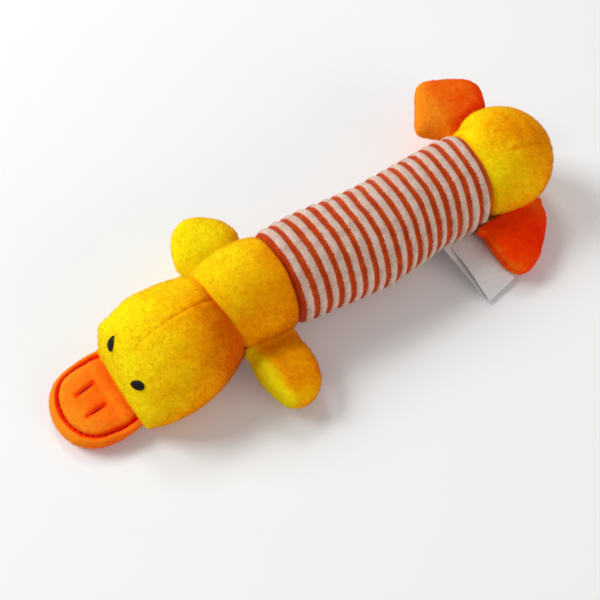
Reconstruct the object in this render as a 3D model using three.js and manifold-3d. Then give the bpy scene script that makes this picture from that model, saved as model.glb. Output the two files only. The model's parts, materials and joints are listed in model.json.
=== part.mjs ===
// A stuffed plush duck for a dog: a striped knitted tube with a plush head, chest and tail cap,
// stuffed limbs, a folded label, and a squeaker among the stuffing. Millimetres, +Z up. The head is
// at -X and the duck's left side is at -Y. It lies on its belly, on the level plane at zero height.
import * as THREE from "three";
import { mergeVertices } from "three/addons/utils/BufferGeometryUtils.js";
import Module from "manifold-3d";

const wasm = await Module();
wasm.setup();

// Cloth, thread and clearances
const PLUSH = 1.4;
const KNIT = 1.2;
const THREAD_RADIUS = 0.4;
const GAP = 0.3;
const FILL_GAP = 0.6;
const OVERRUN = 250;
const MERGE_DISTANCE = 1e-4;

// The striped tube, seam to seam, with an orange valley and a white crest in each pitch
const STRIPE_COUNT = 18;
const STRIPE_PITCH = 5.36;
const SEAM_MARGIN = 1.5;
const TUBE_RADIUS = 20.6;
const RIB_RISE = 0.4;
const TUBE_HEIGHT = 20.9;
const TUBE_SAG = 0.7;
const TUBE_BOW = 2;
const TUBE_LENGTH = (STRIPE_COUNT - 1) * STRIPE_PITCH + 2 * SEAM_MARGIN;
const tubeRadiusShares = [
  [0, 0.905],
  [0.1, 0.966],
  [0.23, 0.995],
  [0.37, 1],
  [0.51, 0.99],
  [0.64, 0.965],
  [0.76, 0.952],
  [0.88, 0.952],
  [1, 0.912],
];
const tubeBowShares = [
  [0, 0],
  [0.26, 0.5],
  [0.46, 1],
  [0.62, 0.5],
  [0.78, -0.1],
  [1, -0.2],
];

// The head: a plush bag that opens at the neck, nodding and turned a little to the left
const NECK_X = -26;
const NECK_SIDE = 1.5;
const NECK_HEIGHT = 21.1;
const NECK_RADIUS = 17.8;
const HEAD_NOD = 10;
const HEAD_TURN = 5;
const HEAD_LENGTH = 47.5;
const HEAD_HALF_WIDTH = 25.2;
const CROWN_RISE = 20.4;
const JAW_DROP = 19;
const CROWN_SEAM_TURN = 7;
const CROWN_SEAM_SET = 52;
const headWidthShares = [
  [0, 0.706],
  [0.08, 0.775],
  [0.21, 0.884],
  [0.37, 0.976],
  [0.54, 1],
  [0.7, 0.96],
  [0.83, 0.881],
  [0.91, 0.81],
  [0.97, 0.746],
  [1, 0.7],
];
const headCrownShares = [
  [0, 0.873],
  [0.08, 0.95],
  [0.21, 1],
  [0.37, 1],
  [0.54, 0.931],
  [0.7, 0.775],
  [0.83, 0.588],
  [0.91, 0.412],
  [0.97, 0.2],
  [1, 0.02],
];
const headJawShares = [
  [0, 0.937],
  [0.08, 0.979],
  [0.21, 1],
  [0.37, 0.968],
  [0.54, 0.905],
  [0.7, 0.832],
  [0.83, 0.768],
  [0.91, 0.726],
  [0.97, 0.674],
  [1, 0.632],
];

// The chest: a barrel with a ball of cloth in front, which the head's neck opening turns on
const BALL_RADIUS = NECK_RADIUS - PLUSH - GAP;
const BALL_EDGE_ANGLE = 112;
const BALL_ROUND_ANGLE = 150;
const SOCKET_ANGLE = 72;
const CHEST_RADIUS = 19.6;
const CHEST_SHOULDER = 2.4;
const chestRadiusShares = [
  [0, 0.972],
  [0.3, 1],
  [0.65, 0.992],
  [1, 0.951],
];

// The eyes, satin-stitched, standing a little out of the plush
const EYE_LENGTH = 6.4;
const EYE_WIDTH = 3.8;
const EYE_THICKNESS = 2.4;
const EYE_SLANT = 38;
const LEFT_EYE = { name: "eye_left", side: 1, set: 40.4, angle: 24 };
const RIGHT_EYE = { name: "eye_right", side: -1, set: 37.6, angle: 32 };

// The beak, a flat stuffed pad with a topstitched rim and two stitched nostrils. The rows of a pad's
// rim are its share of the length out from the root, and how far the rim lies to the two sides.
const BEAK = {
  name: "beak",
  length: 20.6,
  halfWidth: 18.9,
  halfThickness: 4.4,
  rootRadius: 2.8,
  rimShares: [
    [0, 0.963, 0.979],
    [0.2, 0.942, 1],
    [0.4, 0.894, 0.984],
    [0.6, 0.804, 0.926],
    [0.75, 0.677, 0.788],
    [0.87, 0.497, 0.602],
    [0.95, 0.27, 0.38],
    [0.99, 0.08, 0.15],
    [1, -0.02, 0.04],
  ],
};
const BEAK_PITCH = 2;
const BEAK_TURN = 3;
const BEAK_DROP = 5.7;
const BEAK_SIDE = 3.6;
const RIM_WIDTH = 3.4;
const TOPSTITCH_RISE = 0.5;
const NOSTRIL_LENGTH = 7.6;
const NOSTRIL_SPACING = 8.8;
const NOSTRIL_SET = 4.9;
const NOSTRIL_RADIUS = 1.1;

// The tail cap
const TAIL_LENGTH = 40;
const TAIL_RADIUS = 22.4;
const TAIL_HEIGHT = 21.9;
const TAIL_SIDE = 0.5;
const tailRadiusShares = [
  [0, 0.84],
  [0.1, 0.91],
  [0.25, 0.978],
  [0.4, 1],
  [0.55, 0.973],
  [0.7, 0.875],
  [0.83, 0.696],
  [0.93, 0.455],
  [1, 0.06],
];
const tailRiseShares = [
  [0, 0],
  [0.3, 1],
  [1, 1],
];

// The limbs: the size of each pad, where its root lies along and above the body, and its pose
const LIMB_ROOT_RADIUS = 2.4;
const LEFT_WING = {
  name: "left_wing",
  side: 1,
  length: 25,
  halfWidth: 13.3,
  halfThickness: 6.2,
  rootRadius: LIMB_ROOT_RADIUS,
  rimShares: [
    [0, 0.93, 0.67],
    [0.12, 0.97, 0.81],
    [0.24, 0.99, 0.89],
    [0.44, 0.92, 0.88],
    [0.63, 0.81, 0.8],
    [0.8, 0.62, 0.66],
    [0.92, 0.36, 0.46],
    [0.98, 0.12, 0.24],
    [1, -0.04, 0.09],
  ],
  x: -14.6,
  height: 13.8,
  dip: 12,
  roll: -8,
};
const RIGHT_WING = {
  name: "right_wing",
  side: -1,
  length: 24,
  halfWidth: 15,
  halfThickness: 6.2,
  rootRadius: LIMB_ROOT_RADIUS,
  rimShares: [
    [0, 0.73, 0.62],
    [0.15, 0.89, 0.73],
    [0.32, 0.97, 0.77],
    [0.5, 0.94, 0.69],
    [0.65, 0.86, 0.55],
    [0.78, 0.73, 0.36],
    [0.9, 0.57, 0.1],
    [0.97, 0.43, -0.09],
    [1, 0.28, -0.22],
  ],
  x: -10.4,
  height: 16.1,
  dip: -2,
  roll: 0,
};
const LEFT_FOOT = {
  name: "left_foot",
  side: 1,
  length: 21,
  halfWidth: 15.2,
  halfThickness: 5.1,
  rootRadius: LIMB_ROOT_RADIUS,
  rimShares: [
    [0, 0.93, 0.84],
    [0.15, 0.97, 0.88],
    [0.38, 0.8, 0.9],
    [0.6, 0.52, 0.89],
    [0.78, 0.24, 0.86],
    [0.9, -0.05, 0.78],
    [0.97, -0.27, 0.68],
    [1, -0.44, 0.5],
  ],
  x: 101.5,
  height: 11.3,
  dip: 18,
  roll: -10,
};
const RIGHT_FOOT = {
  name: "right_foot",
  side: -1,
  length: 27.6,
  halfWidth: 22.2,
  halfThickness: 5.1,
  rootRadius: LIMB_ROOT_RADIUS,
  rimShares: [
    [0, 0.36, 0.55],
    [0.12, 0.45, 0.72],
    [0.22, 0.58, 0.86],
    [0.32, 0.645, 0.94],
    [0.42, 0.61, 0.98],
    [0.52, 0.53, 1],
    [0.62, 0.44, 0.97],
    [0.73, 0.34, 0.84],
    [0.84, 0.22, 0.63],
    [0.94, 0.09, 0.38],
    [0.985, -0.02, 0.22],
    [1, -0.08, 0.12],
  ],
  x: 109.9,
  height: 16.8,
  dip: -14,
  roll: 0,
};

// The folded label, sewn into the tube's lengthwise seam, low on the left side
const LABEL_WIDTH = 15.8;
const LABEL_LENGTH = 25;
const LABEL_PLY = 0.5;
const LABEL_FOLD_RADIUS = 0.3;
const LABEL_PINCH = 3;
const LABEL_X = 79;
const LABEL_HEIGHT = 9.7;
const LABEL_DIP = 17;

// The squeaker, which stands in a nest of stuffing under the wad that presses it
const SQUEAKER_X = 47;
const SQUEAKER_BASE = 9.5;
const BULB_RADIUS = 13;
const BULB_HEIGHT = 17;
const BULB_CORNER = 3;
const BULB_WALL = 0.9;
const BULB_MOUTH_RADIUS = 4;
const PLUG_HEIGHT = 5;
const PLUG_FLANGE_WIDTH = 1.6;
const PLUG_FLANGE = 1.2;
const PLUG_BORE_RADIUS = 1.8;
const REED_WIDTH = 2.6;
const REED_THICKNESS = 0.4;
const REED_LENGTH = 3.6;
const PRESS_TRAVEL = 7;
const NEST_WALL = 5.6;

// Counts of facets and rings
const BODY_SIDES = 24;
const PAD_SIDES = 12;
const PAD_RINGS = 8;
const PAD_FILL_RINGS = 6;
const FILL_RINGS = 5;
const BALL_RINGS = 4;
const TURNED_SIDES = 18;
const THREAD_SIDES = 5;
const THREAD_STEPS = 24;
const ROUND_SIDES = 20;
const LENS_SIDES = 12;
const LENS_RINGS = 7;
const FOLD_STEPS = 5;

// Colours and finishes
const plush = (color) => new THREE.MeshStandardMaterial({ color, roughness: 0.95, metalness: 0 });
const YELLOW = plush(0xf7c712);
const ORANGE = plush(0xfa6418);
const STRIPED = plush(0xe9bfae);
const FILLING = new THREE.MeshStandardMaterial({ color: 0xf2f2ee, roughness: 1, metalness: 0 });
const BLACK = new THREE.MeshStandardMaterial({ color: 0x17120f, roughness: 0.7, metalness: 0 });
const DARK_RED = new THREE.MeshStandardMaterial({ color: 0x8c1f14, roughness: 0.7, metalness: 0 });
const SATIN = new THREE.MeshStandardMaterial({ color: 0xe8e6ea, roughness: 0.4, metalness: 0 });
const PLASTIC = new THREE.MeshStandardMaterial({ color: 0xf0ede2, roughness: 0.45, metalness: 0 });

const X = new THREE.Vector3(1, 0, 0);
const Y = new THREE.Vector3(0, 1, 0);
const Z = new THREE.Vector3(0, 0, 1);
const radians = THREE.MathUtils.degToRad;
const degrees = THREE.MathUtils.radToDeg;

const evenly = (from, to, count) => Array.from(
  { length: count },
  (_, i) => from + ((to - from) * i) / (count - 1),
);

// Reads a table of [share along, share of size] rows as a smooth curve without overshoot.
function smooth(rows, share) {
  const last = rows.length - 1;
  const at = Math.min(Math.max(share, rows[0][0]), rows[last][0]);
  let i = 0;
  while (i < last - 1 && at > rows[i + 1][0]) i += 1;
  const slope = (k) => (rows[k + 1][1] - rows[k][1]) / (rows[k + 1][0] - rows[k][0]);
  const tangent = (k) => {
    if (k === 0) return slope(0);
    if (k === last) return slope(last - 1);
    const [before, after] = [slope(k - 1), slope(k)];
    return before * after <= 0 ? 0 : (2 * before * after) / (before + after);
  };
  const span = rows[i + 1][0] - rows[i][0];
  const t = (at - rows[i][0]) / span;
  return rows[i][1] * (1 - t) ** 2 * (1 + 2 * t)
    + rows[i + 1][1] * t * t * (3 - 2 * t)
    + tangent(i) * span * t * (1 - t) ** 2
    - tangent(i + 1) * span * t * t * (1 - t);
}

// A ring of points in the plane of two directions. A power over 2 squares it off.
function ring(centre, across, up, halfAcross, halfUp, sides, power = 2) {
  return Array.from({ length: sides }, (_, i) => {
    const angle = (2 * Math.PI * (i + 0.5)) / sides;
    const [c, s] = [Math.cos(angle), Math.sin(angle)]
      .map((v) => Math.sign(v) * Math.abs(v) ** (2 / power));
    return centre.clone().addScaledVector(across, halfAcross * c).addScaledVector(up, halfUp * s);
  });
}

// A closed skin through rings of points. A loop joins its last ring to its first, and any other
// loft gets a fan of faces over each end. The sign of the volume turns the faces outwards.
function loft(rings, loop = false) {
  const sides = rings[0].length;
  const points = rings.flat();
  const faces = [];
  rings.slice(loop ? 0 : 1).forEach((_, i) => {
    const next = (i + 1) % rings.length;
    for (let j = 0; j < sides; j += 1) {
      const k = (j + 1) % sides;
      faces.push([i * sides + j, next * sides + j, next * sides + k]);
      faces.push([i * sides + j, next * sides + k, i * sides + k]);
    }
  });
  if (!loop) {
    for (const i of [0, rings.length - 1]) {
      const sum = rings[i].reduce((total, p) => total.add(p), new THREE.Vector3());
      points.push(sum.divideScalar(sides));
      for (let j = 0; j < sides; j += 1) {
        const [a, b] = [i * sides + j, i * sides + ((j + 1) % sides)];
        faces.push(i === 0 ? [a, b, points.length - 1] : [b, a, points.length - 1]);
      }
    }
  }
  const volume = faces.reduce(
    (sum, [a, b, c]) => sum + points[a].dot(new THREE.Vector3().crossVectors(points[b], points[c])),
    0,
  );
  const geometry = new THREE.BufferGeometry().setFromPoints(points);
  geometry.setIndex(faces.flatMap(([a, b, c]) => (volume > 0 ? [a, b, c] : [a, c, b])));
  return geometry;
}

// A geometry as a solid that can be joined and cut.
function solid(geometry) {
  const bare = geometry.clone();
  bare.deleteAttribute("normal");
  bare.deleteAttribute("uv");
  const merged = mergeVertices(bare, MERGE_DISTANCE);
  return new wasm.Manifold(new wasm.Mesh({
    numProp: 3,
    vertProperties: merged.attributes.position.array,
    triVerts: new Uint32Array(merged.index.array),
  }));
}

// A solid or a geometry as a named mesh.
function piece(name, shape, material) {
  let geometry = shape;
  if (!shape.isBufferGeometry) {
    const { vertProperties, triVerts } = shape.getMesh();
    geometry = new THREE.BufferGeometry();
    geometry.setAttribute("position", new THREE.BufferAttribute(vertProperties, 3));
    geometry.setIndex(new THREE.BufferAttribute(triVerts, 1));
  }
  const made = new THREE.Mesh(geometry, material);
  made.name = name;
  return made;
}

// A block that fills everything on the side of a plane that its normal points to.
function beyond(normal, point) {
  const block = new THREE.BoxGeometry(2 * OVERRUN, 2 * OVERRUN, 2 * OVERRUN);
  block.translate(0, 0, OVERRUN);
  block.applyQuaternion(new THREE.Quaternion().setFromUnitVectors(Z, normal));
  block.translate(point.x, point.y, point.z);
  return solid(block);
}
const above = (height) => beyond(Z, new THREE.Vector3(0, 0, height));
const below = (height) => beyond(Z.clone().negate(), new THREE.Vector3(0, 0, height));

// Cuts a shape of a group flat where the toy rests on the level plane.
function restedOnPlane(shape, group) {
  group.updateWorldMatrix(true, false);
  const back = group.matrixWorld.clone().invert();
  const down = Z.clone().negate().transformDirection(back);
  return shape.subtract(beyond(down, new THREE.Vector3().applyMatrix4(back)));
}

const toy = new THREE.Group();

// The head's frame: x forwards out of the neck, y to the duck's left, z up out of the crown.
const head = new THREE.Group();
head.name = "head";
head.position.set(NECK_X, -NECK_SIDE, NECK_HEIGHT);
head.rotation.set(0, radians(HEAD_NOD), radians(HEAD_TURN) - Math.PI, "ZYX");
toy.add(head);
head.updateWorldMatrix(true, false);
const neckPoint = head.position.clone();
const backwards = X.clone().negate().transformDirection(head.matrixWorld);

// A ring square to a direction of travel, upright on the level plane.
function ringAcross(point, along, radius) {
  const across = new THREE.Vector3().crossVectors(Z, along).normalize();
  const up = new THREE.Vector3().crossVectors(along, across);
  return ring(point, across, up, radius, radius, BODY_SIDES);
}
function neckRing(back, radius) {
  return ringAcross(neckPoint.clone().addScaledVector(backwards, back), backwards, radius);
}

// The chest's centre line bends from the neck's slope to the level of the tube.
const lipRadius = CHEST_RADIUS - CHEST_SHOULDER / 2;
const shoulderSet = lipRadius / Math.tan(radians(SOCKET_ANGLE)) + CHEST_SHOULDER;
const shoulder = neckPoint.clone().addScaledVector(backwards, shoulderSet);
const chestEnd = new THREE.Vector3(0, 0, TUBE_HEIGHT);
const chestReach = shoulder.distanceTo(chestEnd);
const chestLine = new THREE.CubicBezierCurve3(
  shoulder,
  shoulder.clone().addScaledVector(backwards, chestReach / 4),
  chestEnd.clone().addScaledVector(X, -chestReach / 2),
  chestEnd,
);
const chestRadius = (share) => CHEST_RADIUS * smooth(chestRadiusShares, share);

// The rings of the chest at a depth under its skin: ball, socket wall and barrel, up to the seam.
function chestRings(inset, edgeAngle, seamGap) {
  const ball = BALL_RADIUS - inset;
  const wall = radians(SOCKET_ANGLE);
  const meet = SOCKET_ANGLE - degrees(Math.asin(inset / ball));
  const rings = evenly(radians(edgeAngle), radians(meet), BALL_RINGS)
    .map((angle) => neckRing(ball * Math.cos(angle), ball * Math.sin(angle)));
  const lip = lipRadius - inset;
  rings.push(neckRing(lip / Math.tan(wall) + inset / Math.sin(wall), lip));
  for (const share of [0.1, 0.35, 0.65, 1 - seamGap / chestReach]) {
    const point = chestLine.getPoint(share);
    rings.push(ringAcross(point, chestLine.getTangent(share), chestRadius(share) - inset));
  }
  return rings;
}
const chestSkin = loft([
  ...chestRings(0, BALL_EDGE_ANGLE, GAP / 2),
  ...chestRings(PLUSH, BALL_EDGE_ANGLE, GAP / 2).reverse(),
], true);
toy.add(piece("chest_panel", chestSkin, YELLOW));

// The tube's centre and radius, at a distance behind the chest seam
const tubeCentre = (x) => new THREE.Vector3(
  x,
  -TUBE_BOW * smooth(tubeBowShares, x / TUBE_LENGTH),
  TUBE_HEIGHT - TUBE_SAG * Math.sin((Math.PI * x) / TUBE_LENGTH),
);
const tubeRadius = (x) => TUBE_RADIUS * smooth(tubeRadiusShares, x / TUBE_LENGTH);
function tubeRing(x, inset) {
  const radius = tubeRadius(x) - inset;
  return ring(tubeCentre(x), Y, Z, radius, radius, BODY_SIDES);
}

// The striped skin, with a ring in each orange valley and one on each white crest
const stripe = (i) => SEAM_MARGIN + i * STRIPE_PITCH;
const outside = [tubeRing(GAP / 2, 0)];
for (let i = 0; i < STRIPE_COUNT; i += 1) {
  outside.push(tubeRing(stripe(i), RIB_RISE / 2));
  if (i < STRIPE_COUNT - 1) outside.push(tubeRing(stripe(i + 0.5), -RIB_RISE / 2));
}
outside.push(tubeRing(TUBE_LENGTH - GAP / 2, 0));
const inside = tubeRadiusShares
  .map(([share]) => tubeRing(GAP / 2 + (TUBE_LENGTH - GAP) * share, KNIT))
  .reverse();
const tubeSkin = solid(loft([...outside, ...inside], true));
toy.add(piece("striped_tube_panel", restedOnPlane(tubeSkin, toy), STRIPED));

// The tail cap: a dome whose centre line rises a little behind its seam
const tailRadius = (share) => TAIL_RADIUS * smooth(tailRadiusShares, share);
const tailCentre = (share, length) => new THREE.Vector3(
  TUBE_LENGTH + length * share,
  TAIL_SIDE,
  TUBE_HEIGHT + (TAIL_HEIGHT - TUBE_HEIGHT) * smooth(tailRiseShares, share),
);
const tailShares = [0.09, 0.19, 0.3, 0.42, 0.54, 0.65, 0.75, 0.84, 0.91, 0.96, 0.99];
function tailDome(inset, startShare) {
  return solid(loft([startShare, ...tailShares].map((share) => {
    const radius = Math.max(tailRadius(share) - inset, tailRadius(share) / 4);
    return ring(tailCentre(share, TAIL_LENGTH - inset), Y, Z, radius, radius, BODY_SIDES);
  })));
}
const tailSkin = tailDome(0, GAP / 2 / TAIL_LENGTH).subtract(tailDome(PLUSH, -tailShares[0]));
toy.add(piece("tail_panel", restedOnPlane(tailSkin, toy), YELLOW));

// The stuffing of the chest, the tube and the tail, parted where the seams' threads run
const seamRoom = THREAD_RADIUS + GAP;
function neckRound(radius) {
  const round = new THREE.SphereGeometry(radius, ROUND_SIDES, ROUND_SIDES / 2);
  return solid(round.translate(neckPoint.x, neckPoint.y, neckPoint.z));
}
const wadRadius = BALL_RADIUS - PLUSH - FILL_GAP;
toy.add(piece("neck_stuffing", neckRound(wadRadius), FILLING));
const chestFill = solid(loft(chestRings(PLUSH + FILL_GAP, BALL_ROUND_ANGLE, seamRoom)));
toy.add(piece("chest_stuffing", chestFill.subtract(neckRound(wadRadius + FILL_GAP)), FILLING));
function tubeFill(from, to) {
  const rings = evenly(from, to, FILL_RINGS).map((x) => tubeRing(x, KNIT + FILL_GAP));
  return solid(loft(rings)).intersect(above(KNIT + GAP));
}
const nestHalf = BULB_RADIUS + NEST_WALL;
const [nestStart, nestEnd] = [SQUEAKER_X - nestHalf, SQUEAKER_X + nestHalf];
toy.add(piece("front_stuffing", tubeFill(seamRoom, nestStart - GAP), FILLING));
toy.add(piece("rear_stuffing", tubeFill(nestEnd + GAP, TUBE_LENGTH - seamRoom), FILLING));
const tailFill = tailDome(PLUSH + FILL_GAP, seamRoom / TAIL_LENGTH);
toy.add(piece("tail_stuffing", tailFill.intersect(above(PLUSH + GAP)), FILLING));

// The nest round the squeaker, and the wad over it that travels down when the toy is squeezed
const bulbTop = SQUEAKER_BASE + BULB_HEIGHT;
const squeakerPoint = new THREE.Vector3(SQUEAKER_X, tubeCentre(SQUEAKER_X).y, SQUEAKER_BASE);
const pocketDepth = PLUG_FLANGE + 2 * GAP;
const pocketRadius = BULB_RADIUS + GAP;
const pocket = new THREE.CylinderGeometry(pocketRadius, pocketRadius, OVERRUN, BODY_SIDES);
pocket.rotateX(Math.PI / 2);
pocket.translate(squeakerPoint.x, squeakerPoint.y, SQUEAKER_BASE - pocketDepth + OVERRUN / 2);
const nest = tubeFill(nestStart, nestEnd)
  .subtract(above(bulbTop - PRESS_TRAVEL))
  .subtract(solid(pocket));
toy.add(piece("nest_stuffing", nest, FILLING));
const press = tubeFill(nestStart, nestEnd).intersect(above(bulbTop + GAP));
toy.add(piece("press_stuffing", press, FILLING));

// The squeaker: a soft hollow bulb, mouth down, with a plug in the mouth and a reed in the plug
const squeaker = new THREE.Group();
squeaker.name = "squeaker";
squeaker.position.copy(squeakerPoint);
toy.add(squeaker);
function turned(name, outline) {
  const profile = outline.map(([r, z]) => new THREE.Vector2(r, z));
  const shape = new THREE.LatheGeometry(profile, TURNED_SIDES).rotateX(Math.PI / 2);
  squeaker.add(piece(name, shape, PLASTIC));
}
const bulbSide = (inset) => [
  [BULB_RADIUS - BULB_CORNER, BULB_HEIGHT - inset],
  [BULB_RADIUS - inset, BULB_HEIGHT - BULB_CORNER],
  [BULB_RADIUS - inset, BULB_CORNER],
  [BULB_RADIUS - BULB_CORNER, inset],
  [BULB_MOUTH_RADIUS, inset],
];
turned("squeaker_bulb", [
  [0, BULB_HEIGHT - BULB_WALL],
  ...bulbSide(BULB_WALL),
  ...bulbSide(0).reverse(),
  [0, BULB_HEIGHT],
]);
const plugRadius = BULB_MOUTH_RADIUS - GAP;
const flangeRadius = BULB_MOUTH_RADIUS + PLUG_FLANGE_WIDTH;
turned("squeaker_plug", [
  [PLUG_BORE_RADIUS, -GAP - PLUG_FLANGE],
  [flangeRadius, -GAP - PLUG_FLANGE],
  [flangeRadius, -GAP],
  [plugRadius, -GAP],
  [plugRadius, PLUG_HEIGHT],
  [PLUG_BORE_RADIUS, PLUG_HEIGHT],
  [PLUG_BORE_RADIUS, -GAP - PLUG_FLANGE],
]);
const reedShape = new THREE.BoxGeometry(REED_WIDTH, REED_THICKNESS, REED_LENGTH);
const reed = piece("squeaker_reed", reedShape, PLASTIC);
reed.position.set(0, 0, PLUG_HEIGHT / 2);
squeaker.add(reed);

// A ring of thread about the x axis of its group
function threadRing(name, radius) {
  const shape = new THREE.TorusGeometry(radius, THREAD_RADIUS, THREAD_SIDES, THREAD_STEPS);
  const thread = piece(name, shape, YELLOW);
  thread.rotation.set(0, Math.PI / 2, 0);
  return thread;
}
const seamInset = PLUSH + GAP + THREAD_RADIUS;
const chestThread = threadRing("chest_seam_thread", tubeRadius(0) - seamInset);
chestThread.position.copy(chestEnd);
toy.add(chestThread);
const tailThread = threadRing("tail_seam_thread", tubeRadius(TUBE_LENGTH) - seamInset);
tailThread.position.copy(tubeCentre(TUBE_LENGTH));
toy.add(tailThread);

// The head's form at a depth under its skin: ovals from the neck to the flat front
const headShares = headWidthShares.map(([share]) => share);
function headOval(share) {
  const top = CROWN_RISE * smooth(headCrownShares, share);
  const bottom = -JAW_DROP * smooth(headJawShares, share);
  const halfWidth = HEAD_HALF_WIDTH * smooth(headWidthShares, share);
  return { halfWidth, middle: (top + bottom) / 2, halfHeight: (top - bottom) / 2 };
}
function headForm(inset, lead) {
  const rings = headShares.map((share) => {
    const { halfWidth, middle, halfHeight } = headOval(share);
    const centre = new THREE.Vector3((HEAD_LENGTH - inset) * share, 0, middle);
    if (share === 0) centre.x = -lead;
    return ring(centre, Y, Z, halfWidth - inset, halfHeight - inset, BODY_SIDES);
  });
  return solid(loft(rings));
}
const headShell = headForm(0, 0).subtract(headForm(PLUSH, GAP));
const headSkin = restedOnPlane(headShell, head);
const crownTurn = radians(CROWN_SEAM_TURN);
function cheek(name, side) {
  const normal = new THREE.Vector3(Math.sin(crownTurn), Math.cos(crownTurn), 0).multiplyScalar(side);
  const start = new THREE.Vector3(CROWN_SEAM_SET, 0, 0).addScaledVector(normal, GAP / 2);
  head.add(piece(name, headSkin.intersect(beyond(normal, start)), YELLOW));
}
cheek("head_left_panel", 1);
cheek("head_right_panel", -1);
const neckBall = solid(new THREE.SphereGeometry(NECK_RADIUS, ROUND_SIDES, ROUND_SIDES / 2));
const headFill = headForm(PLUSH + FILL_GAP, 0)
  .subtract(neckBall)
  .intersect(beyond(X, new THREE.Vector3(NECK_RADIUS / 2, 0, 0)));
head.add(piece("head_stuffing", headFill, FILLING));
const neckThread = threadRing("neck_seam_thread", NECK_RADIUS - PLUSH / 2);
neckThread.position.set(-THREAD_RADIUS - GAP, 0, 0);
head.add(neckThread);

// An eye: a slanted lens of stitching, cut to lie just clear of the plush
function eye({ name, side, set, angle }) {
  const { halfWidth, middle, halfHeight } = headOval(set / HEAD_LENGTH);
  const [s, c] = [Math.sin(radians(angle)), Math.cos(radians(angle))];
  const point = new THREE.Vector3(set, side * halfWidth * s, middle + halfHeight * c);
  const ahead = headOval((set + EYE_LENGTH / 2) / HEAD_LENGTH);
  const fall = (middle + halfHeight - ahead.middle - ahead.halfHeight) / (EYE_LENGTH / 2);
  const out = new THREE.Vector3(fall * c, (side * s * halfHeight) / halfWidth, c).normalize();
  const lens = new THREE.SphereGeometry(1, LENS_SIDES, LENS_RINGS);
  lens.scale(EYE_LENGTH / 2, EYE_WIDTH / 2, EYE_THICKNESS / 2);
  lens.rotateZ(radians(-side * EYE_SLANT));
  lens.applyQuaternion(new THREE.Quaternion().setFromUnitVectors(Z, out));
  lens.translate(point.x, point.y, point.z);
  head.add(piece(name, solid(lens).subtract(headForm(-GAP, 0)), BLACK));
}
eye(LEFT_EYE);
eye(RIGHT_EYE);

// A pad runs out along x from its hinge on the y axis. At a share k of its length its rim lies as
// far to each side as its rows say, and its height swells from the root and closes at the tip.
const swell = (k, from, to, endShare) => from
  + (to - from) * Math.sin((Math.PI / 2) * Math.min(k / endShare, 1));
const roundTip = (share, power) => (1 - Math.max(share, 0) ** power) ** (1 / power);
const padRim = (pad, k) => [1, 2].map((i) => smooth(pad.rimShares.map((row) => [row[0], row[i]]), k));
const padSquareness = 2.6;
const padTipShare = 0.995;

// A pad's form at a depth under its skin. The root is half round about the hinge.
function padForm(pad, inset, ringCount = PAD_RINGS) {
  const root = pad.rootRadius - inset;
  const padRing = (x, k, halfHeight) => {
    const [left, right] = padRim(pad, k).map((share) => share * (pad.halfWidth - inset));
    const centre = new THREE.Vector3(x, (left - right) / 2, 0);
    return ring(centre, Y, Z, (left + right) / 2, halfHeight, PAD_SIDES, padSquareness);
  };
  const rings = [0.17, 0.64, 0.94]
    .map((share) => padRing(-root * Math.sqrt(1 - share * share), 0, root * share));
  for (const t of evenly(0, 1, ringCount)) {
    const k = padTipShare * (1 - (1 - t) ** 1.8);
    const height = swell(k, root, pad.halfThickness - inset, 0.4) * roundTip(2 * k - 1, 2.2);
    rings.push(padRing((pad.length - inset) * k, k, height));
  }
  return solid(loft(rings));
}

// The three pieces of a pad: the upper and lower cloth, parted at the rim, and the stuffing
function stuffedPad(group, pad, cloth) {
  const skin = padForm(pad, 0).subtract(padForm(pad, PLUSH, PAD_FILL_RINGS));
  group.add(piece(`${pad.name}_upper_panel`, skin.intersect(above(GAP / 2)), cloth));
  group.add(piece(`${pad.name}_lower_panel`, skin.intersect(below(-GAP / 2)), cloth));
  group.add(piece(`${pad.name}_stuffing`, padForm(pad, PLUSH + GAP, PAD_FILL_RINGS), FILLING));
}

// The beak, on the flat front of the head
const beak = new THREE.Group();
beak.name = BEAK.name;
const rootSpan = (pad) => pad.halfWidth * Math.max(...padRim(pad, 0));
const beakSlew = rootSpan(BEAK) * Math.sin(radians(BEAK_TURN));
const beakSet = HEAD_LENGTH + GAP + BEAK.rootRadius + beakSlew;
beak.position.set(beakSet, -BEAK_SIDE, -BEAK_DROP);
beak.rotation.set(0, radians(-BEAK_PITCH), radians(-BEAK_TURN), "ZYX");
head.add(beak);
stuffedPad(beak, BEAK, ORANGE);

// The topstitch, a thread that follows the rim, and the nostrils, laid just clear of the cloth
const clearOfBeak = padForm(BEAK, -GAP);
function rimPath(depth) {
  return evenly(0, 1, THREAD_STEPS).map((t) => {
    const k = 1 - Math.abs(2 * t - 1) ** 1.8;
    const [left, right] = padRim(BEAK, k);
    const share = t > 0.5 ? left : -right;
    return new THREE.Vector2((BEAK.length - depth) * k, (BEAK.halfWidth - depth) * share);
  });
}
const innerRim = rimPath(RIM_WIDTH + 2 * THREAD_RADIUS).reverse();
const rimBand = new THREE.ExtrudeGeometry(
  new THREE.Shape([...rimPath(RIM_WIDTH), ...innerRim]),
  { depth: OVERRUN, bevelEnabled: false },
);
const topstitch = padForm(BEAK, -GAP - TOPSTITCH_RISE).intersect(solid(rimBand)).subtract(clearOfBeak);
beak.add(piece("beak_topstitch", topstitch, DARK_RED));
function nostril(name, side) {
  const lens = new THREE.SphereGeometry(1, LENS_SIDES, LENS_RINGS);
  lens.scale(NOSTRIL_LENGTH / 2, NOSTRIL_RADIUS, NOSTRIL_RADIUS);
  const height = swell(NOSTRIL_SET / BEAK.length, BEAK.rootRadius, BEAK.halfThickness, 0.4);
  lens.translate(NOSTRIL_SET, (side * NOSTRIL_SPACING) / 2, height);
  beak.add(piece(name, solid(lens).subtract(clearOfBeak), DARK_RED));
}
nostril("nostril_left", 1);
nostril("nostril_right", -1);

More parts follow.
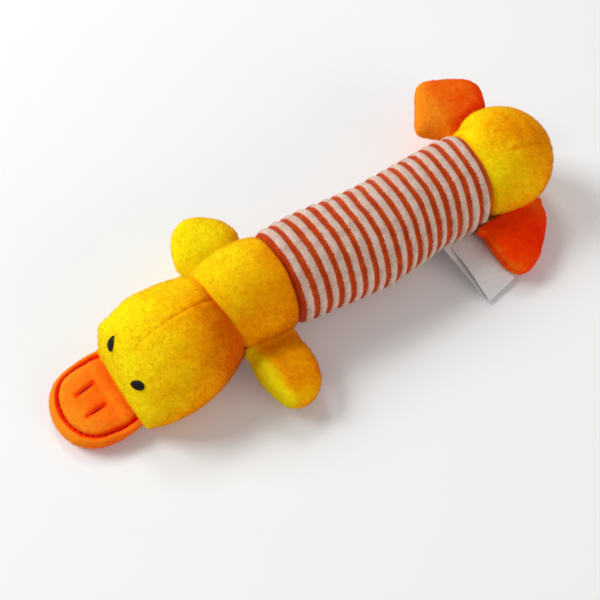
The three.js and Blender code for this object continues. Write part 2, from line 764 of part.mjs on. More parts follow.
// The body's centre and radius at a place along it, for what is sewn to its side
function bodyAt(x) {
  if (x > TUBE_LENGTH) {
    const share = (x - TUBE_LENGTH) / TAIL_LENGTH;
    return { centre: tailCentre(share, TAIL_LENGTH), radius: tailRadius(share) };
  }
  if (x < 0) {
    const share = Math.max(1 - x / shoulder.x, 0);
    return { centre: chestLine.getPoint(share), radius: chestRadius(share) };
  }
  return { centre: tubeCentre(x), radius: tubeRadius(x) + RIB_RISE / 2 };
}

// A group whose hinge line, along its y axis, just clears the body over its whole width. Its x axis
// points out and down by the dip, and the roll drops the end of the hinge line towards the tail.
const SEAT_STEPS = 9;
function sewnGroup({ name, side, x, height, dip, roll }, halfSpan, rootRadius) {
  const group = new THREE.Group();
  group.name = name;
  group.rotation.set(radians(roll), radians(dip), (-side * Math.PI) / 2, "ZYX");
  const hinge = Y.clone().applyEuler(group.rotation);
  const sides = evenly(-halfSpan, halfSpan, SEAT_STEPS).map((u) => {
    const { centre, radius } = bodyAt(x + hinge.x * u);
    const rise = height + hinge.z * u - centre.z;
    const clear = radius + GAP + rootRadius;
    return Math.sqrt(Math.max(clear * clear - rise * rise, 0)) - side * (centre.y - hinge.y * u);
  });
  group.position.set(x, -side * Math.max(...sides), height);
  toy.add(group);
  return group;
}
function limb(pad, cloth) {
  stuffedPad(sewnGroup(pad, rootSpan(pad), pad.rootRadius), pad, cloth);
}
limb(LEFT_WING, YELLOW);
limb(RIGHT_WING, YELLOW);
limb(LEFT_FOOT, ORANGE);
limb(RIGHT_FOOT, ORANGE);

// The label: one ribbon, folded over at its free end, with its cut ends closed on each other in a
// half-round root at the seam
const foldOutside = LABEL_FOLD_RADIUS + LABEL_PLY;
const foldX = LABEL_LENGTH - foldOutside;
const quarter = Math.PI / 2;
const ribbonLoop = new THREE.Shape();
ribbonLoop.absarc(0, 0, LABEL_PLY, -quarter, quarter, true);
ribbonLoop.lineTo(LABEL_PINCH, foldOutside);
ribbonLoop.absarc(foldX, 0, foldOutside, quarter, -quarter, true);
ribbonLoop.lineTo(LABEL_PINCH, -foldOutside);
const betweenPlies = new THREE.Path();
betweenPlies.moveTo(LABEL_PLY, 0);
betweenPlies.lineTo(LABEL_PINCH, -LABEL_FOLD_RADIUS);
betweenPlies.absarc(foldX, 0, LABEL_FOLD_RADIUS, -quarter, quarter, false);
betweenPlies.lineTo(LABEL_PINCH, LABEL_FOLD_RADIUS);
ribbonLoop.holes.push(betweenPlies);
const ribbon = new THREE.ExtrudeGeometry(ribbonLoop, {
  depth: LABEL_WIDTH,
  bevelEnabled: false,
  curveSegments: FOLD_STEPS,
});
ribbon.rotateX(quarter);
ribbon.translate(0, LABEL_WIDTH / 2, 0);
const labelPlace = {
  name: "label_place",
  side: 1,
  x: LABEL_X,
  height: LABEL_HEIGHT,
  dip: LABEL_DIP,
  roll: 0,
};
sewnGroup(labelPlace, LABEL_WIDTH / 2, LABEL_PLY).add(piece("label", ribbon, SATIN));

// The part's origin is under the middle of the whole toy, on the level plane.
const part = new THREE.Group();
part.add(toy);
const middle = new THREE.Box3().setFromObject(toy, true).getCenter(new THREE.Vector3());
toy.position.set(-middle.x, -middle.y, 0);

export default part;
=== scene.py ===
import json
from itertools import product

import bmesh
import bpy
import numpy as np
from mathutils import Matrix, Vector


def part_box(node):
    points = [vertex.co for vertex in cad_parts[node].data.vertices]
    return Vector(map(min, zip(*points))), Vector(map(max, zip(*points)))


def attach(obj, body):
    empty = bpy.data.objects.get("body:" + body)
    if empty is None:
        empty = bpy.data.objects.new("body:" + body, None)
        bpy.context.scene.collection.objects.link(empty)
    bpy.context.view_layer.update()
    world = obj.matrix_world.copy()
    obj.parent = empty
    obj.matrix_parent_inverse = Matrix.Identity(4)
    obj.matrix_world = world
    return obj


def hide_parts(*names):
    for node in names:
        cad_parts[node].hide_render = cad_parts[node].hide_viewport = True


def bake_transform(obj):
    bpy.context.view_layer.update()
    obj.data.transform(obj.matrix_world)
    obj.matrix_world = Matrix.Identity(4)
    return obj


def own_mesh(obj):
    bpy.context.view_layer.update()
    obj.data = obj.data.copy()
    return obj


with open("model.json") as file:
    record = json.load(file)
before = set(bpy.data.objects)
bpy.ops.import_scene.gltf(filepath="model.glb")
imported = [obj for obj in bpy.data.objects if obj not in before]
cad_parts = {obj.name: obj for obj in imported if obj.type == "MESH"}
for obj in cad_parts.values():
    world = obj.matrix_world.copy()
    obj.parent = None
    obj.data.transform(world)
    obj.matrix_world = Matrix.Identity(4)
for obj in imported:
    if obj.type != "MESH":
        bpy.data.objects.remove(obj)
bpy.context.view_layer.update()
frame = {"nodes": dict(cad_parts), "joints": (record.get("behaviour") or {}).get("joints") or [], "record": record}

MM = 0.001


# The white table top that the toy lies on, with soft daylight from behind its right wing and
# the camera high over its left side. None of this is part of the toy.
def axes_of(turn, tilt):
    """A camera's right, up and back directions, turned about the vertical and tilted down."""
    away = np.array([np.sin(turn), np.cos(turn), 0])
    right = np.array([np.cos(turn), -np.sin(turn), 0])
    up = away * np.sin(tilt) + np.array([0, 0, np.cos(tilt)])
    back = -away * np.cos(tilt) + np.array([0, 0, np.sin(tilt)])
    return right, up, back


def placed(thing, axes, point):
    """Sets a lamp or camera at a point, in metres, with its own right, up and back axes."""
    rows = np.column_stack([*axes, point])
    thing.matrix_world = Matrix([*rows.tolist(), [0, 0, 0, 1]])
    bpy.context.scene.collection.objects.link(thing)


camera = bpy.data.objects.new("camera", bpy.data.cameras.new("camera"))
placed(camera, axes_of(np.radians(33.2), np.radians(55)), np.array([-134.79, -198.58, 332.2]) * MM)
camera.data.lens = 60
camera.data.sensor_width = 36
camera.data.clip_start = 0.01
camera.data.clip_end = 20
bpy.context.scene.camera = camera
bpy.context.scene.view_settings.view_transform = "Standard"


def lamp(name, turn, tilt, distance, width, power, colour):
    """A square soft lamp that looks back at the toy from a turn and height, in degrees."""
    made = bpy.data.objects.new(name, bpy.data.lights.new(name, "AREA"))
    made.data.size = width
    made.data.energy = power
    made.data.color = colour
    axes = axes_of(np.radians(turn), np.radians(tilt))
    placed(made, axes, axes[2] * distance)


lamp("window", turn=138, tilt=40, distance=1.8, width=0.9, power=24, colour=(1, 0.99, 0.97))
lamp("skylight", turn=196, tilt=50, distance=1.6, width=0.4, power=5, colour=(1, 0.97, 0.93))
lamp("room", turn=-20, tilt=9, distance=1.4, width=1.1, power=10, colour=(1, 0.92, 0.82))


def seen_otherwise(tree, plain, seen, end, share):
    """Gives the camera's own rays a share of another shader in place of the plain one."""
    ray = tree.nodes.new("ShaderNodeLightPath")
    amount = tree.nodes.new("ShaderNodeMath")
    amount.operation = "MULTIPLY"
    amount.inputs[1].default_value = share
    mix = tree.nodes.new("ShaderNodeMixShader")
    tree.links.new(ray.outputs["Is Camera Ray"], amount.inputs[0])
    tree.links.new(amount.outputs[0], mix.inputs["Fac"])
    tree.links.new(plain.outputs[0], mix.inputs[1])
    tree.links.new(seen.outputs[0], mix.inputs[2])
    tree.links.new(mix.outputs["Shader"], tree.nodes[end].inputs["Surface"])


def finish_of(name, values):
    """A new material with its node tree and surface shader, and plain values on the shader's own
    sockets by their names."""
    made = bpy.data.materials.new(name)
    made.use_nodes = True
    shader = made.node_tree.nodes["Principled BSDF"]
    for socket, value in values.items():
        shader.inputs[socket].default_value = value
    return made, made.node_tree, shader


white = bpy.data.worlds.new("white room")
white.use_nodes = True
bpy.context.scene.world = white
tree = white.node_tree
sky = tree.nodes["Background"]
sky.inputs["Color"].default_value = (1, 0.98, 0.965, 1)
sky.inputs["Strength"].default_value = 0.29
seen_sky = tree.nodes.new("ShaderNodeBackground")
seen_sky.inputs["Color"].default_value = (0.97, 0.97, 0.98, 1)
seen_otherwise(tree, sky, seen_sky, "World Output", 1)

table_mesh = bpy.data.meshes.new("table_top")
table_mesh.from_pydata([(-3, -3, 0), (3, -3, 0), (3, 3, 0), (-3, 3, 0)], [], [(0, 1, 2, 3)])
table_top = bpy.data.objects.new("table_top", table_mesh)
bpy.context.scene.collection.objects.link(table_top)
board_values = {"Roughness": 0.8, "Specular IOR Level": 0.1}
board_values["Base Color"] = (0.93, 0.965, 0.985, 1)
board, tree, paint = finish_of("white board", board_values)
lift = tree.nodes.new("ShaderNodeEmission")
lift.inputs["Color"].default_value = (0.93, 0.95, 1, 1)
LIFT_SHARE = 0.08
seen_otherwise(tree, paint, lift, "Material Output", LIFT_SHARE)
table_mesh.materials.append(board)


# The chest is a short sleeve of yellow plush between the neck seam and the striped tube. Its two
# ends are turned in and sewn, and it is stuffed so that it swells between the seams.
hinges = {j["name"]: np.array(j["pos_m"]) / MM for j in frame["joints"] if j.get("pos_m")}
FULL_TURN = 2 * np.pi
PLUSH_WALL = 1.3
PILE_DENSITY = 2.6
BODY_PILE = 0.75
NECK_SLEEVE = 8.38
CHEST_ROWS = 84
CHEST_LENGTH = 26


def middle(node):
    """The middle of a node's box, in millimetres."""
    low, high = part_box(node)
    return np.array((low + high) / 2) / MM


def turned(z, y=0, x=0):
    """The turn about x, then y, then z, in degrees, as a matrix whose columns are the axes."""
    a, b, c = np.radians([z, y, x])
    about_z = np.array([[np.cos(a), -np.sin(a), 0], [np.sin(a), np.cos(a), 0], [0, 0, 1]])
    about_y = np.array([[np.cos(b), 0, np.sin(b)], [0, 1, 0], [-np.sin(b), 0, np.cos(b)]])
    about_x = np.array([[1, 0, 0], [0, np.cos(c), -np.sin(c)], [0, np.sin(c), np.cos(c)]])
    return about_z @ about_y @ about_x


def eased(rows, at):
    """Reads rows of (place, size) as a smooth line without overshoot: a cubic between two rows,
    whose slope at a row is the harmonic mean of the slopes beside it, or 0 where they turn."""
    x, y = np.array(rows, float).T
    slope = np.diff(y) / np.diff(x)
    product_of = slope[1:] * slope[:-1]
    total = np.where(product_of > 0, slope[1:] + slope[:-1], 1)
    inner = np.where(product_of > 0, 2 * product_of / total, 0)
    tangent = np.concatenate([slope[:1], inner, slope[-1:]])
    at = np.clip(at, x[0], x[-1])
    i = np.clip(np.searchsorted(x, at, side="right") - 1, 0, len(x) - 2)
    span = x[i + 1] - x[i]
    t = (at - x[i]) / span
    ends = y[i] * (1 - t) ** 2 * (1 + 2 * t) + y[i + 1] * t * t * (3 - 2 * t)
    return ends + span * t * (1 - t) * (tangent[i] * (1 - t) - tangent[i + 1] * t)


def step(low, high, value):
    """Rises smoothly from 0 at low to 1 at high."""
    t = np.clip((value - low) / (high - low), 0, 1)
    return t * t * (3 - 2 * t)


def near(distance, width):
    """A soft bump across a line: e to the power of minus the square of distance / width."""
    return np.exp(-((distance / width) ** 2))


def mottle(points, size, seed):
    """Smooth random heights from -1 to 1: a random number at each corner of a lattice of cubes of
    that size, and between the corners their mean, weighted by an eased distance."""
    scaled = points / size + seed * 7.31
    cell = np.floor(scaled).astype(np.int64)
    part = scaled - cell
    part = part * part * (3 - 2 * part)
    total = np.zeros(points.shape[:-1])
    for corner in product((0, 1), repeat=3):
        key = (cell + corner) * (73856093, 19349663, 83492791)
        mixed = (key[..., 0] ^ key[..., 1] ^ key[..., 2] ^ (seed * 9781)) & 0xFFFFFFFF
        mixed = (((mixed >> 15) ^ mixed) * 0x2C1B3C6D) & 0xFFFFFFFF
        mixed = (((mixed >> 12) ^ mixed) * 0x297A2D39) & 0xFFFFFFFF
        weight = np.where(np.array(corner) == 1, part, 1 - part).prod(-1)
        total += weight * (((mixed >> 15) ^ mixed) / 2**31 - 1)
    return total


def outward(rings):
    """The outward direction at each point of rings: the step along crossed with the step round."""
    along = np.gradient(rings, axis=0)
    across = np.roll(rings, -1, axis=1) - np.roll(rings, 1, axis=1)
    normal = np.cross(along, across)
    normal /= np.linalg.norm(normal, axis=-1, keepdims=True) + 1e-12
    from_centre = rings - rings.mean(axis=1, keepdims=True)
    return normal * np.sign((normal * from_centre).sum())


def raised(rings, height):
    """Moves each point outwards by a height in millimetres."""
    return rings + outward(rings) * height[..., None]


def napped(rings, seed, lump=0.4, tuft=0.17, nap=0.12):
    """The uneven skin of a stuffed plush bag: lumps of stuffing 13 mm across, tufts of 3.4 mm and
    nap of 0.9 mm, each a smooth random height."""
    height = lump * mottle(rings, 13, seed) + tuft * mottle(rings, 3.4, seed + 1)
    return raised(rings, height + nap * mottle(rings, 0.9, seed + 2))


def settled(rings):
    """Flattens what would sink into the table: the height becomes the mean of itself and the
    root of its square plus a small square, which is a smooth form of the larger of it and 0."""
    rings = rings.copy()
    rings[..., 2] = (rings[..., 2] + np.sqrt(rings[..., 2] ** 2 + 0.5)) / 2
    return rings


def tone_with_painted_light(rings, seed, painted_shade=0):
    """The pile's tone, from 0 to 1, with painted light: lighter on the sides that face up, towards
    the beak and the right, where the window lamp stands, and painted shade on the sides that face
    away, with soft random patches. The painted shade given for the seam lines, folds and shaded
    sides is taken off."""
    facing = outward(rings) @ np.array([-0.72, 0.3, 0.3])
    patches = 0.08 * mottle(rings, 9, seed) + 0.05 * mottle(rings, 4, seed + 3)
    return np.clip(0.54 + 0.4 * facing + patches - painted_shade, 0, 1)


def pile_on(rings, pile, kept, density, length, seed):
    """Short pile standing on a cloth, as thin three-sided spikes: their feet are spread evenly
    over the faces by area, and each leans out along the skin's outward direction plus the
    direction the pile is laid and a random one. Gives the corners, the faces and the tone of each
    corner: the cloth's tone there, with painted shade at each foot and painted light at each tip."""
    chance = np.random.default_rng(seed)
    here, step_on = rings[:-1], rings[1:] - rings[:-1]
    step_round = np.roll(rings, -1, 1)[:-1] - here
    area = np.linalg.norm(np.cross(step_on, step_round), axis=-1) * kept[:-1]
    count = int(area.sum() * density)
    faces = chance.choice(area.size, count, p=area.ravel() / area.sum())
    row, column = np.divmod(faces, area.shape[1])
    a, b = chance.random((2, count, 1))
    foot = here[row, column] + a * step_on[row, column] + b * step_round[row, column]
    out = outward(rings)[row, column]
    lean = out + np.array([-0.25, 0.1, -0.1]) + chance.normal(0, 0.3, (count, 3))
    lean /= np.linalg.norm(lean, axis=-1, keepdims=True)
    tip = foot + lean * length * (0.6 + 0.7 * chance.random((count, 1)))
    side = np.cross(lean, chance.normal(0, 1, (count, 3)))
    side *= 0.11 / np.linalg.norm(side, axis=-1, keepdims=True)
    other = np.cross(lean, side)
    foot = foot - out * 0.12
    one, two = foot - side / 2 + other * 0.87, foot - side / 2 - other * 0.87
    corners = np.stack([foot + side, one, two, tip], 1)
    # Painted shade at each spike's foot and painted light at its tip.
    tone = pile[row, column][:, None] + np.array([-0.05, -0.05, -0.05, 0.08])
    first = 4 * np.arange(count)[:, None, None]
    faces = first + np.array([[0, 1, 3], [1, 2, 3], [2, 0, 3], [0, 2, 1]])
    return corners.reshape(-1, 3), faces.reshape(-1, 3), np.clip(tone, 0, 1).ravel()


def piece_of(name, finish, points, faces):
    """A smooth-shaded piece from points in millimetres and lists of corner numbers."""
    mesh = bpy.data.meshes.new(name)
    mesh.from_pydata((points * MM).tolist(), [], faces)
    mesh.polygons.foreach_set("use_smooth", np.ones(len(mesh.polygons), bool))
    mesh.materials.append(finish)
    made = bpy.data.objects.new(name, mesh)
    bpy.context.scene.collection.objects.link(made)
    return made


def skin(name, finish, rings, loop=False, pile=None, flow=None, fur=None):
    """A mesh through rings of points in millimetres, with four-sided faces between neighbouring
    rings. A loop joins its last ring to its first, and any other skin gets a fan of faces from
    the middle of each end ring. Pile is a tone for each point, with painted light and shade, flow
    a map place for each point, and fur is the standing pile's corners, faces and tones."""
    rows, columns, _ = rings.shape
    index = np.arange(rows * columns).reshape(rows, columns)
    here, ahead = (index, np.roll(index, -1, 0)) if loop else (index[:-1], index[1:])
    faces = np.stack([here, np.roll(here, -1, 1), np.roll(ahead, -1, 1), ahead], -1).reshape(-1, 4)
    points = rings.reshape(-1, 3)
    fans = np.zeros((0, 3), int)
    values = None if pile is None else pile.reshape(-1)
    if not loop:
        start, end = rows * columns, rows * columns + 1
        first, last = index[0], index[-1]
        points = np.vstack([points, rings[0].mean(0), rings[-1].mean(0)])
        into = np.stack([np.roll(first, -1), first, np.full(columns, start)], -1)
        out_of = np.stack([last, np.roll(last, -1), np.full(columns, end)], -1)
        fans = np.vstack([into, out_of])
        if values is not None:
            values = np.append(values, [pile[0].mean(), pile[-1].mean()])
    corner = points[faces]
    sweep = np.cross(corner[:, 2] - corner[:, 0], corner[:, 3] - corner[:, 1])
    if (sweep * (corner.mean(1) - points.mean(0))).sum() < 0:
        faces, fans = faces[:, ::-1], fans[:, ::-1]
    if fur is not None:
        fans = np.vstack([fans, fur[1] + len(points)])
        points = np.vstack([points, fur[0]])
        values = np.append(values, fur[2])
    made = piece_of(name, finish, points, faces.tolist() + fans.tolist())
    mesh = made.data
    if values is not None:
        # The pile attribute holds each point's painted light and shade, with its random patches.
        shade = mesh.attributes.new("pile", "FLOAT", "POINT")
        shade.data.foreach_set("value", values.astype(np.float32))
    if flow is not None:
        corners = np.zeros(len(mesh.loops), int)
        mesh.loops.foreach_get("vertex_index", corners)
        places = np.vstack([flow.reshape(-1, 2), np.zeros((2, 2))])[corners]
        mesh.uv_layers.new(name="flow").data.foreach_set("uv", places.ravel())
    return made


def with_lining(rings, thickness, count=14):
    """Adds the inner side of a cloth, a few plain rings in reverse order, so that a loop through
    all of them is a sleeve with that wall."""
    chosen = np.linspace(0, len(rings) - 1, count).round().astype(int)[::-1]
    inner = rings[chosen]
    centre = inner.mean(axis=1, keepdims=True)
    radius = np.linalg.norm(inner - centre, axis=-1, keepdims=True)
    return np.concatenate([rings, centre + (inner - centre) * (1 - thickness / radius)]), chosen


def skin_and_lining(rings, inner, pile, chosen):
    """One sheet from the front of a bag over its outside and back along its lining, whose pile
    value is 0."""
    tone = np.vstack([pile[::-1], pile[chosen[::-1]] * 0])
    return np.concatenate([rings[::-1], inner[::-1]]), tone


def noise_of(tree, size, detail, stretch=(1, 1, 1), roughness=0.55):
    """A cloud pattern on the piece's own place in the toy, with grains of a size in mm."""
    place = tree.nodes.new("ShaderNodeTexCoord")
    mapping = tree.nodes.new("ShaderNodeMapping")
    mapping.inputs["Scale"].default_value = stretch
    cloud = tree.nodes.new("ShaderNodeTexNoise")
    cloud.inputs["Scale"].default_value = 1 / (size * MM)
    cloud.inputs["Detail"].default_value = detail
    cloud.inputs["Roughness"].default_value = roughness
    tree.links.new(place.outputs["Object"], mapping.inputs["Vector"])
    tree.links.new(mapping.outputs["Vector"], cloud.inputs["Vector"])
    return cloud.outputs["Fac"]


def sum_of(tree, *terms):
    """Adds up pairs of a socket and a factor. A pair without a socket is a plain number."""
    total = None
    for socket, factor in terms:
        part = tree.nodes.new("ShaderNodeMath")
        part.operation = "MULTIPLY_ADD"
        part.inputs[0].default_value = 1
        part.inputs[1].default_value = factor
        part.inputs[2].default_value = 0
        if socket:
            tree.links.new(socket, part.inputs[0])
        if total:
            tree.links.new(total, part.inputs[2])
        total = part.outputs[0]
    return total


def ramp_of(tree, value, stops, shader=None):
    """Reads a value as a colour, from stops of (value, colour), for a shader's base if given."""
    ramp = tree.nodes.new("ShaderNodeValToRGB")
    while len(ramp.color_ramp.elements) < len(stops):
        ramp.color_ramp.elements.new(0.5)
    for element, (at, colour) in zip(ramp.color_ramp.elements, stops):
        element.position = at
        element.color = (*colour, 1)
    tree.links.new(value, ramp.inputs["Fac"])
    if shader:
        tree.links.new(ramp.outputs["Color"], shader.inputs["Base Color"])
    return ramp.outputs["Color"]


def bumped(tree, shader, height, depth, strength=1):
    """Roughens a shader's surface by a height pattern, to a depth in mm."""
    bump = tree.nodes.new("ShaderNodeBump")
    bump.inputs["Distance"].default_value = depth * MM
    bump.inputs["Strength"].default_value = strength
    tree.links.new(height, bump.inputs["Height"])
    tree.links.new(bump.outputs["Normal"], shader.inputs["Normal"])


def plush(name, deep_and_shaded, mid, light, sheen):
    """Short cut pile: its colour runs from the shaded end to the lit end of the ramp by the piece's
    pile value, which holds painted light and shade, and by random tufts and single fibres. The
    sheen is of the tips."""
    own = {"Roughness": 0.92, "Specular IOR Level": 0.04, "Sheen Weight": 0.12}
    own |= {"Sheen Roughness": 0.45, "Sheen Tint": (*sheen, 1)}
    made, tree, shader = finish_of(name, own)
    # The pile attribute brings each point's painted light and shade.
    pile = tree.nodes.new("ShaderNodeAttribute")
    pile.attribute_name = "pile"
    fibres = noise_of(tree, 0.55, 3, (0.55, 1, 1), 0.7)
    tufts = noise_of(tree, 2.4, 3, (0.8, 1, 1))
    value = sum_of(tree, (pile.outputs["Fac"], 1), (fibres, 0.26), (tufts, 0.26), (None, -0.26))
    ramp_of(tree, value, [(0.05, deep_and_shaded), (0.46, mid), (0.88, light)], shader)
    bumped(tree, shader, sum_of(tree, (fibres, 0.6), (tufts, 0.6)), 0.35, 0.6)
    return made


# The shaded end is the yellow plush's painted shade tone, the light end its painted lit tone.
yellow_plush = plush(
    "yellow plush",
    deep_and_shaded=(0.7, 0.12, 0.0),
    mid=(0.96, 0.39, 0.0),
    light=(1, 0.8, 0.004),
    sheen=(1, 0.8, 0.08),
)

neck = hinges["head_nod"]
head_axes = turned(5 - 180, 10)
backwards = -head_axes[:, 0]
chest_seam = middle("chest_seam_thread")
shoulder = neck + backwards * NECK_SLEEVE
reach = np.linalg.norm(chest_seam - shoulder)
bend = [
    shoulder,
    shoulder + backwards * reach / 4,
    chest_seam - np.array([reach / 2, 0, 0]),
    chest_seam,
]


def curve_through(points, count):
    """Places and directions spaced evenly along a line through the given points."""
    length = np.append(0, np.cumsum(np.linalg.norm(np.diff(points, axis=0), axis=1)))
    at = np.linspace(0, length[-1], count)
    places = np.stack([np.interp(at, length, points[:, i]) for i in range(3)], -1)
    along = np.gradient(places, axis=0)
    return places, along / np.linalg.norm(along, axis=-1, keepdims=True)


def hoops(places, along, radius, columns):
    """Upright rings square to a line: centre + radius * (across * cos a + up * sin a)."""
    across = np.cross([0, 0, 1], along)
    across /= np.linalg.norm(across, axis=-1, keepdims=True)
    up = np.cross(along, across)
    angle = FULL_TURN * (np.arange(columns) + 0.5) / columns
    spokes = across[:, None] * np.cos(angle)[:, None] + up[:, None] * np.sin(angle)[:, None]
    return places[:, None] + spokes * radius[:, None, None]


t = np.linspace(0, 1, 300)[:, None]
straight = neck + backwards * NECK_SLEEVE * np.linspace(0, 1, 100)[:-1, None]
curved = (
    bend[0] * (1 - t) ** 3
    + bend[1] * 3 * t * (1 - t) ** 2
    + bend[2] * 3 * t * t * (1 - t)
    + bend[3] * t**3
)
chest_line, chest_along = curve_through(np.vstack([straight, curved]), CHEST_ROWS)
chest_share = np.linspace(0, 1, CHEST_ROWS)
CHEST_RADII = [
    (0, 16.5), (0.025, 17.2), (0.07, 17.8), (0.2, 18.3), (0.36, 18.9), (0.55, 19.7),
    (0.76, 19.6), (0.9, 19.1), (0.965, 18.6), (1, 17.5),
]
chest_rings = hoops(chest_line, chest_along, eased(CHEST_RADII, chest_share), 300)
# Painted shade along the neck and tube seams.
chest_seams = near(chest_share * CHEST_LENGTH, 1.1)
chest_seams = chest_seams + near((1 - chest_share) * CHEST_LENGTH, 0.9)
chest_top = step(-0.3, 0.8, outward(chest_rings)[..., 2])
chest_lip = near(chest_share * CHEST_LENGTH, 2.6)[:, None]
chest_rings = raised(chest_rings, 0.9 * chest_top * chest_lip)
# Painted shade on the left side, more towards the tube.
chest_painted_side_shade = 0.1 * step(8, -10, chest_rings[..., 1]) * (0.3 + chest_share[:, None])
chest_mottle_and_light = tone_with_painted_light(chest_rings, 11, 0.25 * chest_seams[:, None] + chest_painted_side_shade)
chest_rings = settled(napped(chest_rings, 11))
chest_edge = np.minimum(chest_share, 1 - chest_share)
chest_kept = (chest_rings[..., 2] > 1) * step(0.01, 0.03, chest_edge)[:, None]
chest_fur = pile_on(chest_rings, chest_mottle_and_light, chest_kept, PILE_DENSITY, BODY_PILE, 12)
chest_all, chest_rows = with_lining(chest_rings, PLUSH_WALL)
chest_tone = np.vstack([chest_mottle_and_light, chest_mottle_and_light[chest_rows] * 0])
chest = skin("chest_cloth", yellow_plush, chest_all, True, chest_tone, fur=chest_fur)
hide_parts("chest_panel")
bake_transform(chest)


# The body is one tube of striped velour knit, white with orange bands, sewn shut along its
# belly and to the chest and tail cap at its ends. The stuffing pushes the white bands out.
STRIPE_PITCH = 5.36
STRIPE_COUNT = 18
FIRST_STRIPE = 1.5
TUBE_LENGTH = (STRIPE_COUNT - 1) * STRIPE_PITCH + 2 * FIRST_STRIPE
KNIT_WALL = 1.1
TUBE_ROWS = 302
TUBE_COLUMNS = 296
TUBE_RADII = [
    (0, 18.64), (0.1, 19.9), (0.23, 20.5), (0.37, 20.6), (0.51, 20.4), (0.64, 19.88),
    (0.76, 19.6), (0.88, 19.6), (1, 18.79),
]
TUBE_BOWS = [(0, 0), (0.26, -1), (0.46, -2), (0.62, -1), (0.78, 0.2), (1, 0.4)]


def skewed(points):
    """Sets the tube's hoops and the tail's start a little askew, as they are sewn: the right side
    goes towards the tail, most at the tail seam, and the left side towards the head."""
    along = points[..., 0] - chest_seam[0]
    right = 3 * step(-5, 55, along) + 1.2 * step(75, TUBE_LENGTH, along)
    right = right * step(-6, 15, points[..., 1]) * step(TUBE_LENGTH + 28, TUBE_LENGTH, along)
    left = 1.1 * step(-12, -22, points[..., 1]) * step(10, 40, along)
    top = step(8, -3, points[..., 1]) * step(-19, -12, points[..., 1])
    left = left + 0.9 * near(along - 42, 14) * top
    left = left * step(TUBE_LENGTH, TUBE_LENGTH - 12, along)
    return points + (right - left)[..., None] * [1, 0, 0]


along_tube = np.linspace(0.1, TUBE_LENGTH - 0.1, TUBE_ROWS)
round_tube = FULL_TURN * (np.arange(TUBE_COLUMNS) + 0.5) / TUBE_COLUMNS
tube_share = along_tube / TUBE_LENGTH
tube_sag = -0.7 * np.sin(np.pi * tube_share)
tube_centre = np.stack([along_tube, eased(TUBE_BOWS, tube_share), tube_sag], -1)
tube_centre += chest_seam
end_gap = np.minimum(along_tube, TUBE_LENGTH - along_tube)
tube_radius = eased(TUBE_RADII, tube_share) - 1.1 * near(end_gap, 0.7)
level = np.zeros((TUBE_ROWS, 3)) + [1, 0, 0]
tube_rings = hoops(tube_centre, level, tube_radius, TUBE_COLUMNS)
tube_drift = 0.35 * mottle(tube_rings * [0.6, 1, 1], 16, 21) + 0.12 * mottle(tube_rings, 5, 22)
tail_part = 0.3 * step(70, TUBE_LENGTH, along_tube)[:, None]
band = (along_tube[:, None] - FIRST_STRIPE + tube_drift + tail_part) / STRIPE_PITCH
band = np.clip(band, 0, STRIPE_COUNT - 1)
squeezed = step(-0.2, 0.9, -np.cos(round_tube - 0.5))[None] * step(0.25, 0.6, tube_share)[:, None]
rib = (0.45 + 0.42 * squeezed) * (1 - 2 * np.abs(np.cos(np.pi * band)) ** 3)
tube_rings = raised(tube_rings, rib)
creases = mottle(tube_rings * [1.6, 0.35, 0.35], 6, 25) * squeezed * 0.35
tube_rings = raised(tube_rings, creases)
tube_rings = settled(skewed(napped(tube_rings, 23, lump=0.35, tuft=0.08, nap=0.06)))
tube_flow = np.stack([band, np.zeros_like(band) + round_tube / FULL_TURN], -1)
tube_all, tube_rows = with_lining(tube_rings, KNIT_WALL, 20)


knit_values = {"Roughness": 0.9, "Specular IOR Level": 0.05}
knit_values |= {"Sheen Weight": 0.1, "Sheen Roughness": 0.5}
knit, tree, shader = finish_of("striped velour", knit_values)
flow = tree.nodes.new("ShaderNodeUVMap")
flow.uv_map = "flow"
split = tree.nodes.new("ShaderNodeSeparateXYZ")
tree.links.new(flow.outputs["UV"], split.inputs["Vector"])
ragged = noise_of(tree, 0.7, 3, (1, 1, 1), 0.65)
place_in_band = sum_of(tree, (split.outputs["X"], 1), (ragged, 0.3), (None, 100.35))
from_centre = place_in_band
for operation in ("FRACT", "SUBTRACT", "ABSOLUTE"):
    reckoned = tree.nodes.new("ShaderNodeMath")
    reckoned.operation = operation
    reckoned.inputs[1].default_value = 0.5
    tree.links.new(from_centre, reckoned.inputs[0])
    from_centre = reckoned.outputs[0]
edge = tree.nodes.new("ShaderNodeMapRange")
edge.interpolation_type = "SMOOTHSTEP"
edge.inputs["From Min"].default_value = 0.29
edge.inputs["From Max"].default_value = 0.17
tree.links.new(from_centre, edge.inputs["Value"])
loops_of_knit = noise_of(tree, 0.5, 2, (1, 0.6, 0.6), 0.6)
cloudy = noise_of(tree, 4, 2)
tone = sum_of(tree, (loops_of_knit, 0.8), (cloudy, 0.7), (None, -0.25))
DARK, EVEN, BRIGHT = 0.1, 0.5, 0.9
whites = ramp_of(
    tree,
    tone,
    [(DARK, (0.4, 0.22, 0.15)), (EVEN, (0.66, 0.48, 0.4)), (BRIGHT, (0.82, 0.7, 0.64))],
)
oranges = ramp_of(
    tree,
    tone,
    [(DARK, (0.3, 0.014, 0.001)), (EVEN, (0.5, 0.045, 0.001)), (BRIGHT, (0.66, 0.11, 0.004))],
)
stripes = tree.nodes.new("ShaderNodeMix")
stripes.data_type = "RGBA"
tree.links.new(edge.outputs["Result"], stripes.inputs["Factor"])
tree.links.new(whites, stripes.inputs["A"])
tree.links.new(oranges, stripes.inputs["B"])
tree.links.new(stripes.outputs["Result"], shader.inputs["Base Color"])
bumped(tree, shader, sum_of(tree, (loops_of_knit, 0.7), (ragged, 0.5)), 0.35, 0.8)
tube_flow = np.concatenate([tube_flow, tube_flow[tube_rows]])
tube = skin("striped_tube", knit, tube_all, True, flow=tube_flow)
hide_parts("striped_tube_panel")
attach(tube, "body")


